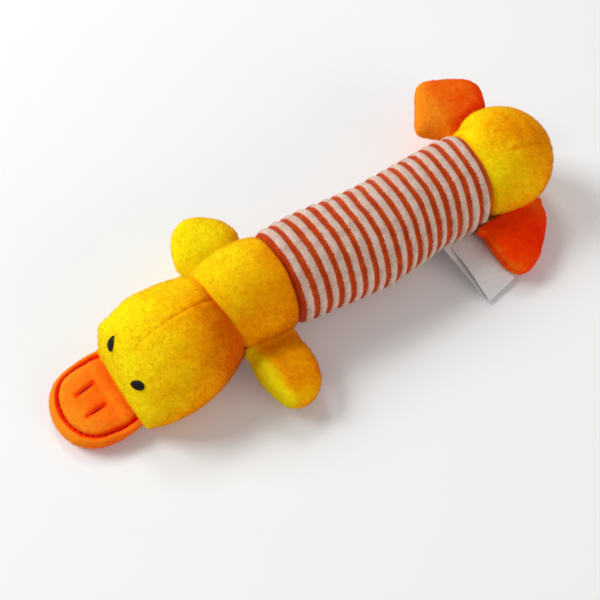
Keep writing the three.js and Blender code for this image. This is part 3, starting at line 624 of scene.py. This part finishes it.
# The tail cap is a dome of yellow plush, cut as one round piece gathered to the tube's end, with
# a soft crease across its middle where the cloth has folded over the stuffing.
TAIL_LENGTH = 40
TAIL_RADIUS = 22.4
TAIL_ROWS = 136
TAIL_RADII = [
    (0, 0.82), (0.1, 0.91), (0.25, 0.978), (0.4, 1), (0.55, 0.973), (0.7, 0.875), (0.83, 0.696),
    (0.93, 0.455), (0.98, 0.25), (1, 0.01),
]
tail_seam = middle("tail_seam_thread")
tail_turn = np.linspace(0, 1, TAIL_ROWS)
tail_share = 1 - (1 - tail_turn) ** 1.25
tail_centre = np.stack(
    [
        tail_seam[0] + 0.1 + (TAIL_LENGTH - 0.4) * tail_share,
        np.full(TAIL_ROWS, tail_seam[1] + 0.1),
        tail_seam[2] + eased([(0, 0), (0.3, 1), (1, 1)], tail_share),
    ],
    -1,
)
tail_tuck = near(tail_share * TAIL_LENGTH, 0.8)
tail_radius = TAIL_RADIUS * eased(TAIL_RADII, tail_share) - 0.9 * tail_tuck
tail_rings = hoops(tail_centre, np.zeros((TAIL_ROWS, 3)) + [1, 0, 0], tail_radius, 320)
# Painted shade along the tube seam.
tail_seams = near(tail_share * TAIL_LENGTH, 0.9)[:, None]


def near_line(points, start, end):
    """The distance from each point to the straight line between two points."""
    start, span = np.array(start, float), np.subtract(end, start)
    share = np.clip(((points - start) @ span) / (span @ span), 0, 1)
    return np.linalg.norm(points - start - share[..., None] * span, axis=-1)


fold_bends = [(82.6, -11.8, 39), (89, -13.4, 41), (96, -14.8, 40.8), (102.5, -15.6, 38.3)]
folds = zip(fold_bends, fold_bends[1:])
tail_folds = sum(near(near_line(tail_rings, a, b), 1.1) for a, b in folds)
by_seam = near(tail_share * TAIL_LENGTH - 6, 4.5)[:, None]
tail_rings = raised(tail_rings, -1.8 * by_seam * step(2, 14, tail_rings[..., 1]))
pucker = near(near_line(tail_rings, (96.7, -6, 44.1), (93.1, -12.6, 42.2)), 2)
tail_folds = np.minimum(tail_folds, 1) * 0.8 + 0.2 * pucker
tail_rings = raised(tail_rings, -0.5 * tail_folds)
# Painted shade in the folds and in a broad patch across the middle of the top, and painted light on the left side.
tail_painted_shade_and_light = 0.12 * tail_folds - 0.1 * step(-6, -16, tail_rings[..., 1])
tail_painted_shade_and_light += 0.2 * near(near_line(tail_rings, (91, -2, 44), (97, -12, 40)), 9)
tail_mottle_and_light = tone_with_painted_light(tail_rings, 31, 0.3 * tail_seams + tail_painted_shade_and_light)
tail_rings = settled(skewed(napped(tail_rings, 31)))
tail_kept = (tail_rings[..., 2] > 1) * step(0.01, 0.03, tail_share)[:, None]
tail_fur = pile_on(tail_rings, tail_mottle_and_light, tail_kept, PILE_DENSITY, BODY_PILE, 32)
tail_lined, tail_rows = with_lining(tail_rings, PLUSH_WALL, 16)
tail_inner = tail_lined[TAIL_ROWS:]
tail_all, tail_tone = skin_and_lining(tail_rings, tail_inner, tail_mottle_and_light, tail_rows)
tail = skin("tail_cap", yellow_plush, tail_all, False, tail_tone, fur=tail_fur)
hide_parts("tail_panel")
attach(tail, "body")


# The head is a bag of two plush cheeks joined by a seam over the crown and under the chin, pear
# shaped, tucked in at the neck seam and rounded off in front where the beak is sewn on.
HEAD_LENGTH = 47.5
HEAD_WIDTHS = [
    (0, 17.79), (0.08, 19.53), (0.21, 22.28), (0.37, 24.6), (0.54, 25.2), (0.7, 24.19),
    (0.83, 22.2), (0.91, 20.41), (0.97, 18.8), (1, 17.64),
]
HEAD_TOPS = [
    (0, 17.81), (0.08, 19.38), (0.21, 20.4), (0.37, 20.4), (0.54, 18.99), (0.7, 15.81),
    (0.83, 12.0), (0.91, 8.4), (0.97, 4.08), (1, 0.6),
]
HEAD_BOTTOMS = [
    (0, -17.8), (0.08, -18.6), (0.21, -19), (0.37, -18.39), (0.54, -17.2), (0.7, -15.81),
    (0.83, -14.59), (0.91, -13.79), (0.97, -12.81), (1, -12.01),
]
HEAD_ROWS = 136
HEAD_COLUMNS = 340
NOSE_ROWS = 26


def head_oval(share):
    """The half width, middle height and half height of the head at a share of its length."""
    top, bottom = eased(HEAD_TOPS, share), eased(HEAD_BOTTOMS, share)
    return eased(HEAD_WIDTHS, share), (top + bottom) / 2, (top - bottom) / 2


def head_place(share, angle):
    """The head's skin in its own frame: an oval across, at a share of the length, by its angle."""
    half_width, mid_height, half_height = head_oval(share)
    return np.stack(
        [
            HEAD_LENGTH * share,
            half_width * np.cos(angle),
            mid_height + half_height * np.sin(angle),
        ],
        -1,
    )


def fitted_to_beak(places):
    """Fills out the right cheek, and draws the front back to the slanting line on which the beak
    is sewn: a point moves back by that line's distance there, eased in over the last quarter."""
    ahead, side = places[..., 0], places[..., 1]
    far = step(0, -16, side)
    fuller = far * (1.1 * step(14, 26, ahead) + 2.6 * step(30, 45, ahead))
    back = (2.9 - 0.11 * side) * step(35, HEAD_LENGTH, ahead)
    rise = 0.5 * far * step(14, 26, ahead)
    return np.stack([ahead - back, side - fuller, places[..., 2] + rise], -1)


head_share = np.linspace(0, 1, HEAD_ROWS)
head_round = FULL_TURN * (np.arange(HEAD_COLUMNS) + 0.5) / HEAD_COLUMNS
head_rings = head_place(head_share[:, None] + 0 * head_round, head_round + 0 * head_share[:, None])
nose = np.linspace(0, np.pi / 2 * 0.985, NOSE_ROWS)[1:, None, None]
front = head_rings[-1]
front_middle = front.mean(0)
nose_rings = front_middle + (front - front_middle) * np.cos(nose)
nose_rings = nose_rings + np.array([1.4, 0, 0]) * np.sin(nose)
head_rings = np.concatenate([head_rings, nose_rings])
head_top = step(-0.3, 0.8, np.sin(head_round))[None]
head_rings = fitted_to_beak(head_rings)
pinch = 1 - 0.07 * near(head_rings[..., 0], 1.7) * (1 - 0.75 * head_top)
head_rings[..., 1] *= pinch
head_rings[..., 2] *= pinch
crown = np.radians(7)
from_crown = (head_rings[..., 0] - 30) * np.sin(crown) + head_rings[..., 1] * np.cos(crown)
crown_depth = 1 - step(14, 40, head_rings[..., 0])
groove = near(from_crown, 0.55) * crown_depth
lips = near(np.abs(from_crown) - 1.9, 1.2) * crown_depth
neck_part = near(head_rings[..., 0], 1.1)
head_rings = raised(head_rings, 0.1 * lips - 0.24 * groove)
head_ahead, head_side = head_rings[..., 0], head_rings[..., 1]
head_rings = head_rings @ head_axes.T + neck
# Painted shade along the crown groove and the neck seam, and over the back of the left cheek near the neck.
head_painted_shade = 0.4 * near(head_ahead, 14) * step(-9, 7, head_side)
head_mottle_and_light = tone_with_painted_light(head_rings, 41, 0.14 * groove + 0.2 * neck_part + head_painted_shade)
head_rings = settled(napped(head_rings, 41))
head_kept = (head_rings[..., 2] > 1) * step(0.4, 1.2, head_ahead)
head_fur = pile_on(head_rings, head_mottle_and_light, head_kept, PILE_DENSITY, BODY_PILE, 42)
head_lined, head_rows = with_lining(head_rings, PLUSH_WALL, 18)
head_inner = head_lined[len(head_rings):]
inner_ahead = step(30, 45, (head_inner - neck) @ head_axes[:, 0])[..., None]
head_inner = head_inner + backwards * 1.4 * inner_ahead
head_all, head_tone = skin_and_lining(head_rings, head_inner, head_mottle_and_light, head_rows)
head = skin("head_cloth", yellow_plush, head_all, False, head_tone, fur=head_fur)
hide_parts("head_left_panel", "head_right_panel")
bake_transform(head)


# Each wing and foot is a small flat bag, two pieces of plush sewn face to face, turned out
# through the root, stuffed, and caught in a seam or sewn to the body by the root.
def pad_outline(corners, count):
    """The rim of a pad seen from above: a closed smooth line through the given corners, whose
    slope at each is half the step between its two neighbours, read at even distances."""
    points = np.array(corners, float)
    before, after = np.roll(points, 1, 0), np.roll(points, -1, 0)
    slope = (after - before) / 2
    t = np.linspace(0, 1, 40, endpoint=False)[:, None, None]
    rim = points * (1 - t) ** 2 * (1 + 2 * t) + after * t * t * (3 - 2 * t)
    rim = rim + t * (1 - t) * (slope * (1 - t) - np.roll(slope, -1, 0) * t)
    rim = rim.transpose(1, 0, 2).reshape(-1, 2)
    rim = np.vstack([rim, rim[:1]])
    length = np.append(0, np.cumsum(np.hypot(*np.diff(rim, axis=0).T)))
    at = length[-1] * (np.arange(count) + 0.5) / count
    return np.stack([np.interp(at, length, rim[:, 0]), np.interp(at, length, rim[:, 1])], -1)


def pad_rings(pad, rows=112, columns=260):
    """A stuffed pad in its own frame, x out from the hinge: rings shrink from the rim to the
    middle of the top and of the bottom. At a turn a from the top, a point is the rim drawn in by
    sin(a) to a power, and its height is the pad's thickness there by cos(a) to that power."""
    rim = pad_outline(pad["rim"], columns)
    centre = (rim.min(0) + rim.max(0)) / 2
    turn = np.linspace(0.02, np.pi - 0.02, rows)[:, None]
    power = 2 / pad["square"]
    drawn = np.sin(turn) ** power
    rise = np.sign(np.cos(turn)) * np.abs(np.cos(turn)) ** power
    plan = centre + drawn[..., None] * (rim - centre)
    k = np.clip(plan[..., 0] / pad["swell"], 0, 1)
    swell = np.sin(np.pi / 2 * k)
    thick = pad["root_height"] + (pad["half_height"] - pad["root_height"]) * swell
    return np.stack([plan[..., 0], plan[..., 1], thick * rise], -1), drawn, rim


def rim_gap(points, rim):
    """The distance from each point to the nearest point of the rim, seen from above."""
    flat = points[..., None, :2].astype(np.float32)
    return np.sqrt(((flat - rim[::3].astype(np.float32)) ** 2).sum(-1).min(-1))


def limb(name, joint, pad, finish, seed):
    """Makes a wing or foot and places it on its hinge."""
    rings, drawn, rim = pad_rings(pad)
    side_seam = near(rings[..., 2], 0.55) * step(0.9, 1, drawn)
    arc = FULL_TURN * np.arange(rings.shape[1]) / rings.shape[1]
    gathers = np.cos(arc * 31 + 2 * mottle(rings, 7, seed)) * step(0.6, 1, drawn)
    rings = raised(rings, 0.04 * gathers - 0.3 * side_seam)
    # Painted shade over the part nearer the root by the pad's shade value, painted light where that value is below
    # 0, and painted light on the lit side.
    in_shade = step(pad["lit_from"] + 4, pad["lit_from"] - 4, rings[..., 0])
    dark_side, lit_side, rise = pad["lit"]
    lit = rise * step(dark_side, lit_side, rings[..., 1] * pad["side"])
    lifted = step(15, 0, rings[..., 0]) * step(-14, 10, rings[..., 1])
    rings[..., 2] += pad.get("lifted", 0) * lifted
    axes = turned(-90 * pad["side"], pad["dip"], pad["roll"])
    kept = step(0, 2, rings[..., 0])
    rings = rings @ axes.T + hinges[joint]
    kept = kept * (rings[..., 2] > 0.6)
    # Painted shade along the side seam, with the painted shade and light of the masks above.
    pad_painted_shade_and_light = 0.15 * side_seam + pad["shade"] * in_shade - lit
    pile = tone_with_painted_light(rings, seed, pad_painted_shade_and_light)
    rings = napped(rings, seed, lump=0.3, tuft=0.16, nap=0.11)
    fur = pile_on(rings, pile, kept, PILE_DENSITY, pad["pile"], seed + 1)
    made = skin(name + "_pad", finish, rings, False, pile, fur=fur)
    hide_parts(name + "_upper_panel", name + "_lower_panel")
    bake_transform(made)
    return made


# The shaded end is the orange plush's painted shade tone, the light end its painted lit tone.
orange_plush = plush(
    "orange plush",
    deep_and_shaded=(0.9, 0.01, 0.0),
    mid=(0.97, 0.06, 0.0),
    light=(1, 0.29, 0.012),
    sheen=(1, 0.35, 0.08),
)
left_wing = dict(
    side=1, half_height=6.2, root_height=2.8, swell=10, dip=12, roll=-8, square=3.6,
    shade=0.2, lit_from=21, lit=(-3, -10, 0.5), pile=BODY_PILE,
    rim=[
        (-3.6, -9.4), (2, -10.6), (7, -11), (12.8, -10.3), (18, -9), (22.2, -7.3),
        (25, -4.4), (25.9, 0), (24.7, 4.4), (21.2, 8.2), (16, 10.4), (9.6, 11.2), (3.6, 10.8),
        (-3.6, 9.6),
    ],
)
right_wing = dict(
    side=-1, half_height=6.2, root_height=2.8, swell=10, dip=-2, roll=0, square=3.2,
    shade=-0.16, lit_from=22, lit=(4, -10, 0.3), pile=BODY_PILE,
    rim=[
        (-3.6, 13.4), (-0.5, 15), (4.4, 16.8), (9.5, 16.8), (14.4, 15.2), (19.4, 12.8),
        (23.6, 9.2), (25.2, 4.2), (24, -0.8), (20.6, -5.4), (16.2, -8.8), (11.6, -10.8),
        (7, -10.8), (2.4, -8.6), (-3.6, -7),
    ],
)
FOOT_PILE = 0.5
left_foot = dict(
    side=1, half_height=5.1, root_height=4, swell=8, dip=18, roll=-10, square=3.2, lifted=2.6,
    shade=0.3, lit_from=17, lit=(4, 11, 0.3), pile=FOOT_PILE,
    rim=[
        (-3.6, -15), (1.6, -15.6), (7, -15.6), (12.8, -14.9), (17.4, -13.7), (20.8, -10.4),
        (21.3, -5.8), (19.2, -0.2), (15.6, 4.8), (10.6, 10.4), (6, 14), (1, 15.4), (-3.6, 14.6),
    ],
)
right_foot = dict(
    side=-1, half_height=5.1, root_height=2.6, swell=8, dip=-14, roll=0, square=3.2,
    shade=0.12, lit_from=8, lit=(6, -14, 0.5), pile=FOOT_PILE,
    rim=[
        (-3.6, 3.4), (0.6, 6.8), (4, 10.3), (8.6, 14.6), (13, 13.8), (18.2, 10), (24.2, 5.9),
        (28.4, 2), (28.8, -2.7), (26.7, -9), (23.8, -15.2), (20.4, -20.4), (16.2, -22.8),
        (10.6, -21.9), (5.2, -19.2), (0.6, -15.2), (-3.6, -11.4),
    ],
)
limb("left_wing", "left_wing_flap", left_wing, yellow_plush, 51)
limb("right_wing", "right_wing_flap", right_wing, yellow_plush, 54)
limb("left_foot", "left_foot_flap", left_foot, orange_plush, 57)
limb("right_foot", "right_foot_flap", right_foot, orange_plush, 60)


# The beak is a flat orange pad, stitched through all its layers a little in from the rim, which
# leaves a rolled edge round a puffed middle. Two long stitches on top pull in its nostrils.
BEAK_PILE = 0.45
beak_pad = dict(
    half_height=4.4, root_height=3.0, swell=8.4, square=2.5,
    rim=[
        (-10, -18.4), (-6.5, -19.6), (-2, -19.9), (3.2, -19.8), (8.8, -19), (13.4, -17.1),
        (16.9, -13.8), (19.5, -9.1), (20.8, -3.2), (20.7, 2.1), (19.4, 7.2), (16.8, 11.6),
        (12.8, 15), (7.9, 17.1),
        (2.6, 18.1), (-2.5, 18.3), (-6.5, 17.4), (-9.5, 15.6), (-11.5, 0),
    ],
)
beak_axes = head_axes @ turned(-3, -2)
beak_rings, _, beak_rim = pad_rings(beak_pad, 150, 330)
beak_rings[..., 2] *= 1 - 0.5 * step(-1.5, -7, beak_rings[..., 0])
beak_gap = rim_gap(beak_rings, beak_rim[(beak_rim[:, 0] > -8.5) | (np.abs(beak_rim[:, 1]) > 17)])


def seam_inset(ahead):
    """How far the beak's seam lies in from its rim: wider at the tip than at the root."""
    return 2.9 + 1.5 * step(8, 19, ahead)


rim_width = seam_inset(beak_rings[..., 0])
stitched = near(beak_gap - rim_width, 0.9)
upper_side = step(0, 1, beak_rings[..., 2])
NOSTRILS = {
    "nostril_left": ((1.9, 4.3), (8.6, 4.7)),
    "nostril_right": ((1.1, -6.2), (7.9, -5.1)),
}
pulled = sum(
    near(near_line(beak_rings * [1, 1, 0], (*a, 0), (*b, 0)), 1.2)
    for a, b in NOSTRILS.values()
) * upper_side
puffed = step(0, 5, beak_gap - rim_width)
beak_rings = raised(beak_rings, 0.5 * puffed - 1.4 * stitched - 0.7 * pulled)
beak_surface = beak_rings.copy()
beak_rings = beak_rings @ beak_axes.T + hinges["beak_flex"]
# Painted shade in the stitched groove and along the nostril stitches; the whole beak is a little lighter.
beak_mottle_and_light = tone_with_painted_light(beak_rings, 71, 0.55 * stitched + 0.35 * pulled - 0.08)
beak_rings = napped(beak_rings, 71, lump=0.15, tuft=0.1, nap=0.07)
beak_kept = step(-9, -7, beak_surface[..., 0]) * (1 - np.clip(stitched + pulled, 0, 1))
beak_fur = pile_on(beak_rings, beak_mottle_and_light, beak_kept, PILE_DENSITY, BEAK_PILE, 72)
beak = skin("beak_pad", orange_plush, beak_rings, False, beak_mottle_and_light, fur=beak_fur)
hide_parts("beak_upper_panel", "beak_lower_panel")
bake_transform(beak)


# The beak's rim is held by a row of small stitches through all its layers, and each nostril is
# one long stitch, all in the same dark red thread, pulled down into the plush.
def threads(name, finish, lines, radius):
    """Many short threads as one mesh: each line of points carries rings of eight points, whose
    radius closes towards both ends as the root of 1 - s * s."""
    count, steps, _ = lines.shape
    along = np.gradient(lines, axis=1)
    along /= np.linalg.norm(along, axis=-1, keepdims=True)
    s = np.linspace(-1, 1, steps)
    closing = radius * np.sqrt(1 - (0.97 * s) ** 2)
    rings = hoops(lines.reshape(-1, 3), along.reshape(-1, 3), np.tile(closing, count), 8)
    index = np.arange(count * steps * 8).reshape(count, steps, 8)
    here, ahead = index[:, :-1], index[:, 1:]
    sides = np.stack([here, np.roll(here, -1, 2), np.roll(ahead, -1, 2), ahead], -1).reshape(-1, 4)
    caps = np.concatenate([index[:, 0, ::-1], index[:, -1]])
    return piece_of(name, finish, rings.reshape(-1, 3), sides.tolist() + caps.tolist())


def thread_finish(name, dark, light):
    """Twisted sewing thread: fine slanted strands that shine a little, darker between them."""
    made, tree, shader = finish_of(name, {"Roughness": 0.6, "Specular IOR Level": 0.2})
    strands = noise_of(tree, 0.35, 2, (1, 0.4, 0.4), 0.6)
    ramp_of(tree, strands, [(0.3, dark), (0.7, light)], shader)
    bumped(tree, shader, strands, 0.12, 0.7)
    return made


def on_beak(places):
    """The point of the beak's upper skin nearest to each place, seen from above."""
    skin_points = beak_surface[beak_surface[..., 2] > 0.3]
    flat = ((places[:, None] - skin_points[None, :, :2]) ** 2).sum(-1)
    return skin_points[flat.argmin(1)]


red_thread = thread_finish("dark red thread", (0.36, 0.002, 0.0), (0.62, 0.008, 0.001))
rim_step = np.roll(beak_rim, -1, 0) - np.roll(beak_rim, 1, 0)
rim_inward = np.stack([-rim_step[:, 1], rim_step[:, 0]], -1)
rim_inward /= np.linalg.norm(rim_inward, axis=-1, keepdims=True)
rim_inward *= np.sign(((beak_rim.mean(0) - beak_rim) * rim_inward).sum())
seam_set = seam_inset(beak_rim[:, 0])
seam_line = (beak_rim + rim_inward * seam_set[:, None])[beak_rim[:, 0] > -4.6]
seam_length = np.append(0, np.cumsum(np.linalg.norm(np.diff(seam_line, axis=0), axis=1)))
STITCH_PITCH = 2.5
STITCH_LENGTH = 1.9
stitch_count = int(seam_length[-1] / STITCH_PITCH)
stitch_at = (np.arange(stitch_count) + 0.5)[:, None] * seam_length[-1] / stitch_count
stitch_at = stitch_at + STITCH_LENGTH * np.linspace(-0.5, 0.5, 9)
stitch_flat = np.stack([np.interp(stitch_at, seam_length, seam_line[:, i]) for i in (0, 1)], -1)
stitch_points = on_beak(stitch_flat.reshape(-1, 2)).reshape(stitch_count, 9, 3)
stitch_points[..., :2] = stitch_flat
stitch_points[..., 2] = stitch_points[..., 2].mean(1, keepdims=True)
stitch_points[..., 2] += 0.1 - 0.35 * np.linspace(-1, 1, 9) ** 4
stitch_points = stitch_points @ beak_axes.T + hinges["beak_flex"]
stitches = threads("beak_stitches", red_thread, stitch_points, 0.3)
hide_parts("beak_topstitch")
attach(stitches, "beak")
for name, (start, end) in NOSTRILS.items():
    nostril_share = np.linspace(0, 1, 21)[:, None]
    nostril_flat = np.array(start) * (1 - nostril_share) + np.array(end) * nostril_share
    nostril_points = on_beak(nostril_flat)
    nostril_points[:, :2] = nostril_flat
    nostril_points[:, 2] += 0.12 - 0.5 * np.linspace(-1, 1, 21) ** 6
    nostril_points = nostril_points @ beak_axes.T + hinges["beak_flex"]
    nostril = threads(name + "_stitch", red_thread, nostril_points[None], 0.42)
    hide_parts(name)
    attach(nostril, "beak")


# The eyes are two lenses of black thread, satin-stitched through the head's plush and standing a
# little proud of it. The left one is a full oval, the right one a slim wedge.
black_thread = thread_finish("black satin stitch", (0.001, 0.0008, 0.0008), (0.008, 0.006, 0.005))


def head_skin(share, angle):
    """A place on the head's plush and its outward direction, which is the cross product of the
    steps along and round the oval form, with the lumps of its stuffing."""
    place = fitted_to_beak(head_place(share, angle))
    along = fitted_to_beak(head_place(share + 0.002, angle)) - place
    round_it = fitted_to_beak(head_place(share, angle + 0.002)) - place
    out = np.cross(round_it, along)
    out /= np.linalg.norm(out, axis=-1, keepdims=True)
    out *= np.sign(out[..., 2:3].sum())
    place, out = place @ head_axes.T + neck, out @ head_axes.T
    return place + out * 0.4 * mottle(place, 13, 41)[..., None], out


def eye(name, node, ahead, angle, size, slant, wedge):
    """A satin-stitched lens on the head: rings run from the middle out to its oval rim and back
    under it. The height is the root of 1 - r * r, with a ridge for each thread across it."""
    r = np.concatenate([np.linspace(0.03, 1, 60), np.linspace(0.95, 0.05, 8)])[:, None]
    top = np.arange(68)[:, None] < 60
    a = FULL_TURN * np.arange(200)[None] / 200
    p = size[0] / 2 * r * np.cos(a)
    q = size[1] / 2 * r * np.sin(a) * (1 + wedge * np.cos(a))
    slant = np.radians(slant)
    forward = p * np.cos(slant) - q * np.sin(slant)
    round_it = p * np.sin(slant) + q * np.cos(slant)
    place, out = head_skin((ahead + forward) / HEAD_LENGTH, np.radians(angle) + round_it / 20)
    dome = np.sqrt(np.clip(1 - r * r, 0, 1)) * (1 + 0 * a)
    ridge = 0.07 * np.cos(2 * np.pi * p / 0.5 + 1.5 * mottle(place, 1.5, 92)) * dome**0.5
    height = np.where(top, 0.45 + 0.6 * dome + ridge, -0.7)
    made = skin(name, black_thread, place + out * height[..., None])
    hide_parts(node)
    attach(made, "head")


eye("left_eye_stitching", "eye_left", 41.1, 66, (6.5, 3.2), 50, -0.2)
eye("right_eye_stitching", "eye_right", 39.1, 114, (6.6, 2.4), -5, 0.5)


# The label is one length of white satin ribbon, folded over with its two ends caught in the
# tube's side seam, so that two plies hang out, a little askew. It is bare.
LABEL_WIDTH = 15.8
LABEL_REACH = 27
label_axes = turned(-90, 17)
label_along = np.linspace(0, 1, 121)[:, None]
label_across = np.linspace(-0.5, 0.5, 49)[None]
label_out = 1 - np.abs(2 * label_along - 1) ** 1.04
label_below = step(0.47, 0.53, label_along)
label_x = LABEL_REACH * label_out - 0.8 - 3.2 * label_across * label_out
label_mid = 2.2 + 0.5 * label_out - 3 * label_below * (1 - label_out)
label_y = label_mid + LABEL_WIDTH * label_across
label_flat = np.stack([label_x, label_y, 0 * label_y + 40 * label_below], -1)
ply_gap = np.minimum(label_out * 1.3, 1.3 - 1.0 * label_out)
label_z = ply_gap * (0.5 - label_below) + 1.1 * np.sin(np.pi * label_out) * (1 - 0.4 * label_below)
label_z = label_z + 0.35 * mottle(label_flat, 9, 95) * step(0, 0.3, label_out)
label_z = label_z + 0.9 * step(0.3, -0.5, label_across) * label_out * (0.8 - label_below)
label_points = np.stack([label_x, label_y, label_z], -1) @ label_axes.T + hinges["label_flap"]
label_index = np.arange(121 * 49).reshape(121, 49)
label_faces = np.stack(
    [label_index[:-1, :-1], label_index[:-1, 1:], label_index[1:, 1:], label_index[1:, :-1]], -1
)
satin_values = {"Roughness": 0.42, "Sheen Weight": 0.15}
satin, tree, shader = finish_of("white satin ribbon", satin_values)
yarns = noise_of(tree, 0.4, 2, (0.15, 1, 1), 0.5)
ramp_of(tree, yarns, [(0.2, (0.66, 0.66, 0.68)), (0.8, (0.82, 0.82, 0.83))], shader)
bumped(tree, shader, yarns, 0.06, 0.5)
ribbon = piece_of(
    "ribbon_label", satin, label_points.reshape(-1, 3), label_faces.reshape(-1, 4).tolist()
)
wall = ribbon.modifiers.new("ribbon thickness", "SOLIDIFY")
wall.thickness = 0.28 * MM
wall.offset = 0
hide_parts("label")
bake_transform(ribbon)


# Every bag is stuffed with loose white polyester fibre, and the body's is parted into wads, with a
# nest round the squeaker. Each wad follows its solid, drawn together and matted unevenly.
fibre_values = {"Roughness": 0.95, "Sheen Weight": 0.4}
fibre_fill, tree, shader = finish_of("polyester fibre", fibre_values)
matted = noise_of(tree, 1.2, 5, (1, 0.5, 0.8), 0.7)
ramp_of(tree, matted, [(0.25, (0.6, 0.6, 0.58)), (0.75, (0.86, 0.86, 0.84))], shader)
bumped(tree, shader, matted, 0.6, 0.9)


def drawn_back(points):
    """Moves the head's fibre to the shape of its cloth, after a step of up to 1.6 mm back that
    keeps it behind the cloth's front."""
    own = (points - neck) @ head_axes
    own[:, 0] -= 1.6 * step(32, HEAD_LENGTH, own[:, 0])
    return fitted_to_beak(own) @ head_axes.T + neck


def wad(node, body):
    """Fibre in the place of a stuffing solid: its merged copy, evened out to small voxels and
    drawn in unevenly by a smooth random depth."""
    copy = frame["nodes"][node].data.copy()
    made = bpy.data.objects.new(node + "_wad", copy)
    bpy.context.scene.collection.objects.link(made)
    merged = bmesh.new()
    merged.from_mesh(copy)
    bmesh.ops.remove_doubles(merged, verts=merged.verts, dist=1e-6)
    merged.to_mesh(copy)
    merged.free()
    evened = made.modifiers.new("evened", "REMESH")
    evened.mode = "VOXEL"
    evened.voxel_size = 1.3 * MM
    graph = bpy.context.evaluated_depsgraph_get()
    final = bpy.data.meshes.new_from_object(made.evaluated_get(graph))
    made.modifiers.clear()
    made.data = final
    points = np.zeros(len(final.vertices) * 3)
    final.vertices.foreach_get("co", points)
    points = points.reshape(-1, 3) / MM
    out = np.zeros(len(final.vertices) * 3)
    final.vertices.foreach_get("normal", out)
    depth = -0.35 + 0.3 * mottle(points, 6, 97) + 0.15 * mottle(points, 2, 98)
    points = points + out.reshape(-1, 3) * np.minimum(depth, 0)[:, None]
    points = drawn_back(points) if node == "head_stuffing" else skewed(points)
    final.vertices.foreach_set("co", (points * MM).ravel())
    final.update()
    final.polygons.foreach_set("use_smooth", np.ones(len(final.polygons), bool))
    final.materials.clear()
    final.materials.append(fibre_fill)
    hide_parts(node)
    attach(made, body)


for body, nodes in frame["record"]["behaviour"]["bodies"].items():
    for node in nodes:
        if node.endswith("_stuffing"):
            wad(node, body)


# The neck, chest and tail seams are closed by a strong yellow thread, which stays the thread of
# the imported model, as does the squeaker: a bulb, plug and reed of soft milky plastic.
yellow_thread = thread_finish("yellow thread", (0.7, 0.22, 0.001), (0.95, 0.5, 0.004))


def moulded(name, dark, light, roughness, soft):
    """Blow-moulded plastic: clouded colour, with a faint unevenness of the mould's skin."""
    radius = (0.002, 0.002, 0.002)
    values = {"Roughness": roughness, "Subsurface Weight": soft, "Subsurface Radius": radius}
    made, tree, shader = finish_of(name, values)
    cloud = noise_of(tree, 5, 3)
    ramp_of(tree, cloud, [(0.3, dark), (0.7, light)], shader)
    bumped(tree, shader, noise_of(tree, 0.8, 2), 0.05, 0.4)
    return made


milky = moulded("milky plastic", (0.66, 0.67, 0.66), (0.8, 0.8, 0.78), 0.38, 0.2)
stiff = moulded("stiff white plastic", (0.74, 0.74, 0.73), (0.84, 0.84, 0.83), 0.3, 0)
kept_finish = {
    "squeaker_bulb": milky,
    "squeaker_plug": stiff,
    "squeaker_reed": stiff,
    "neck_seam_thread": yellow_thread,
    "chest_seam_thread": yellow_thread,
    "tail_seam_thread": yellow_thread,
}
for node, finish in kept_finish.items():
    for slot in frame["nodes"][node].material_slots:
        slot.material = finish
bulb = frame["nodes"]["squeaker_bulb"]
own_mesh(bulb)
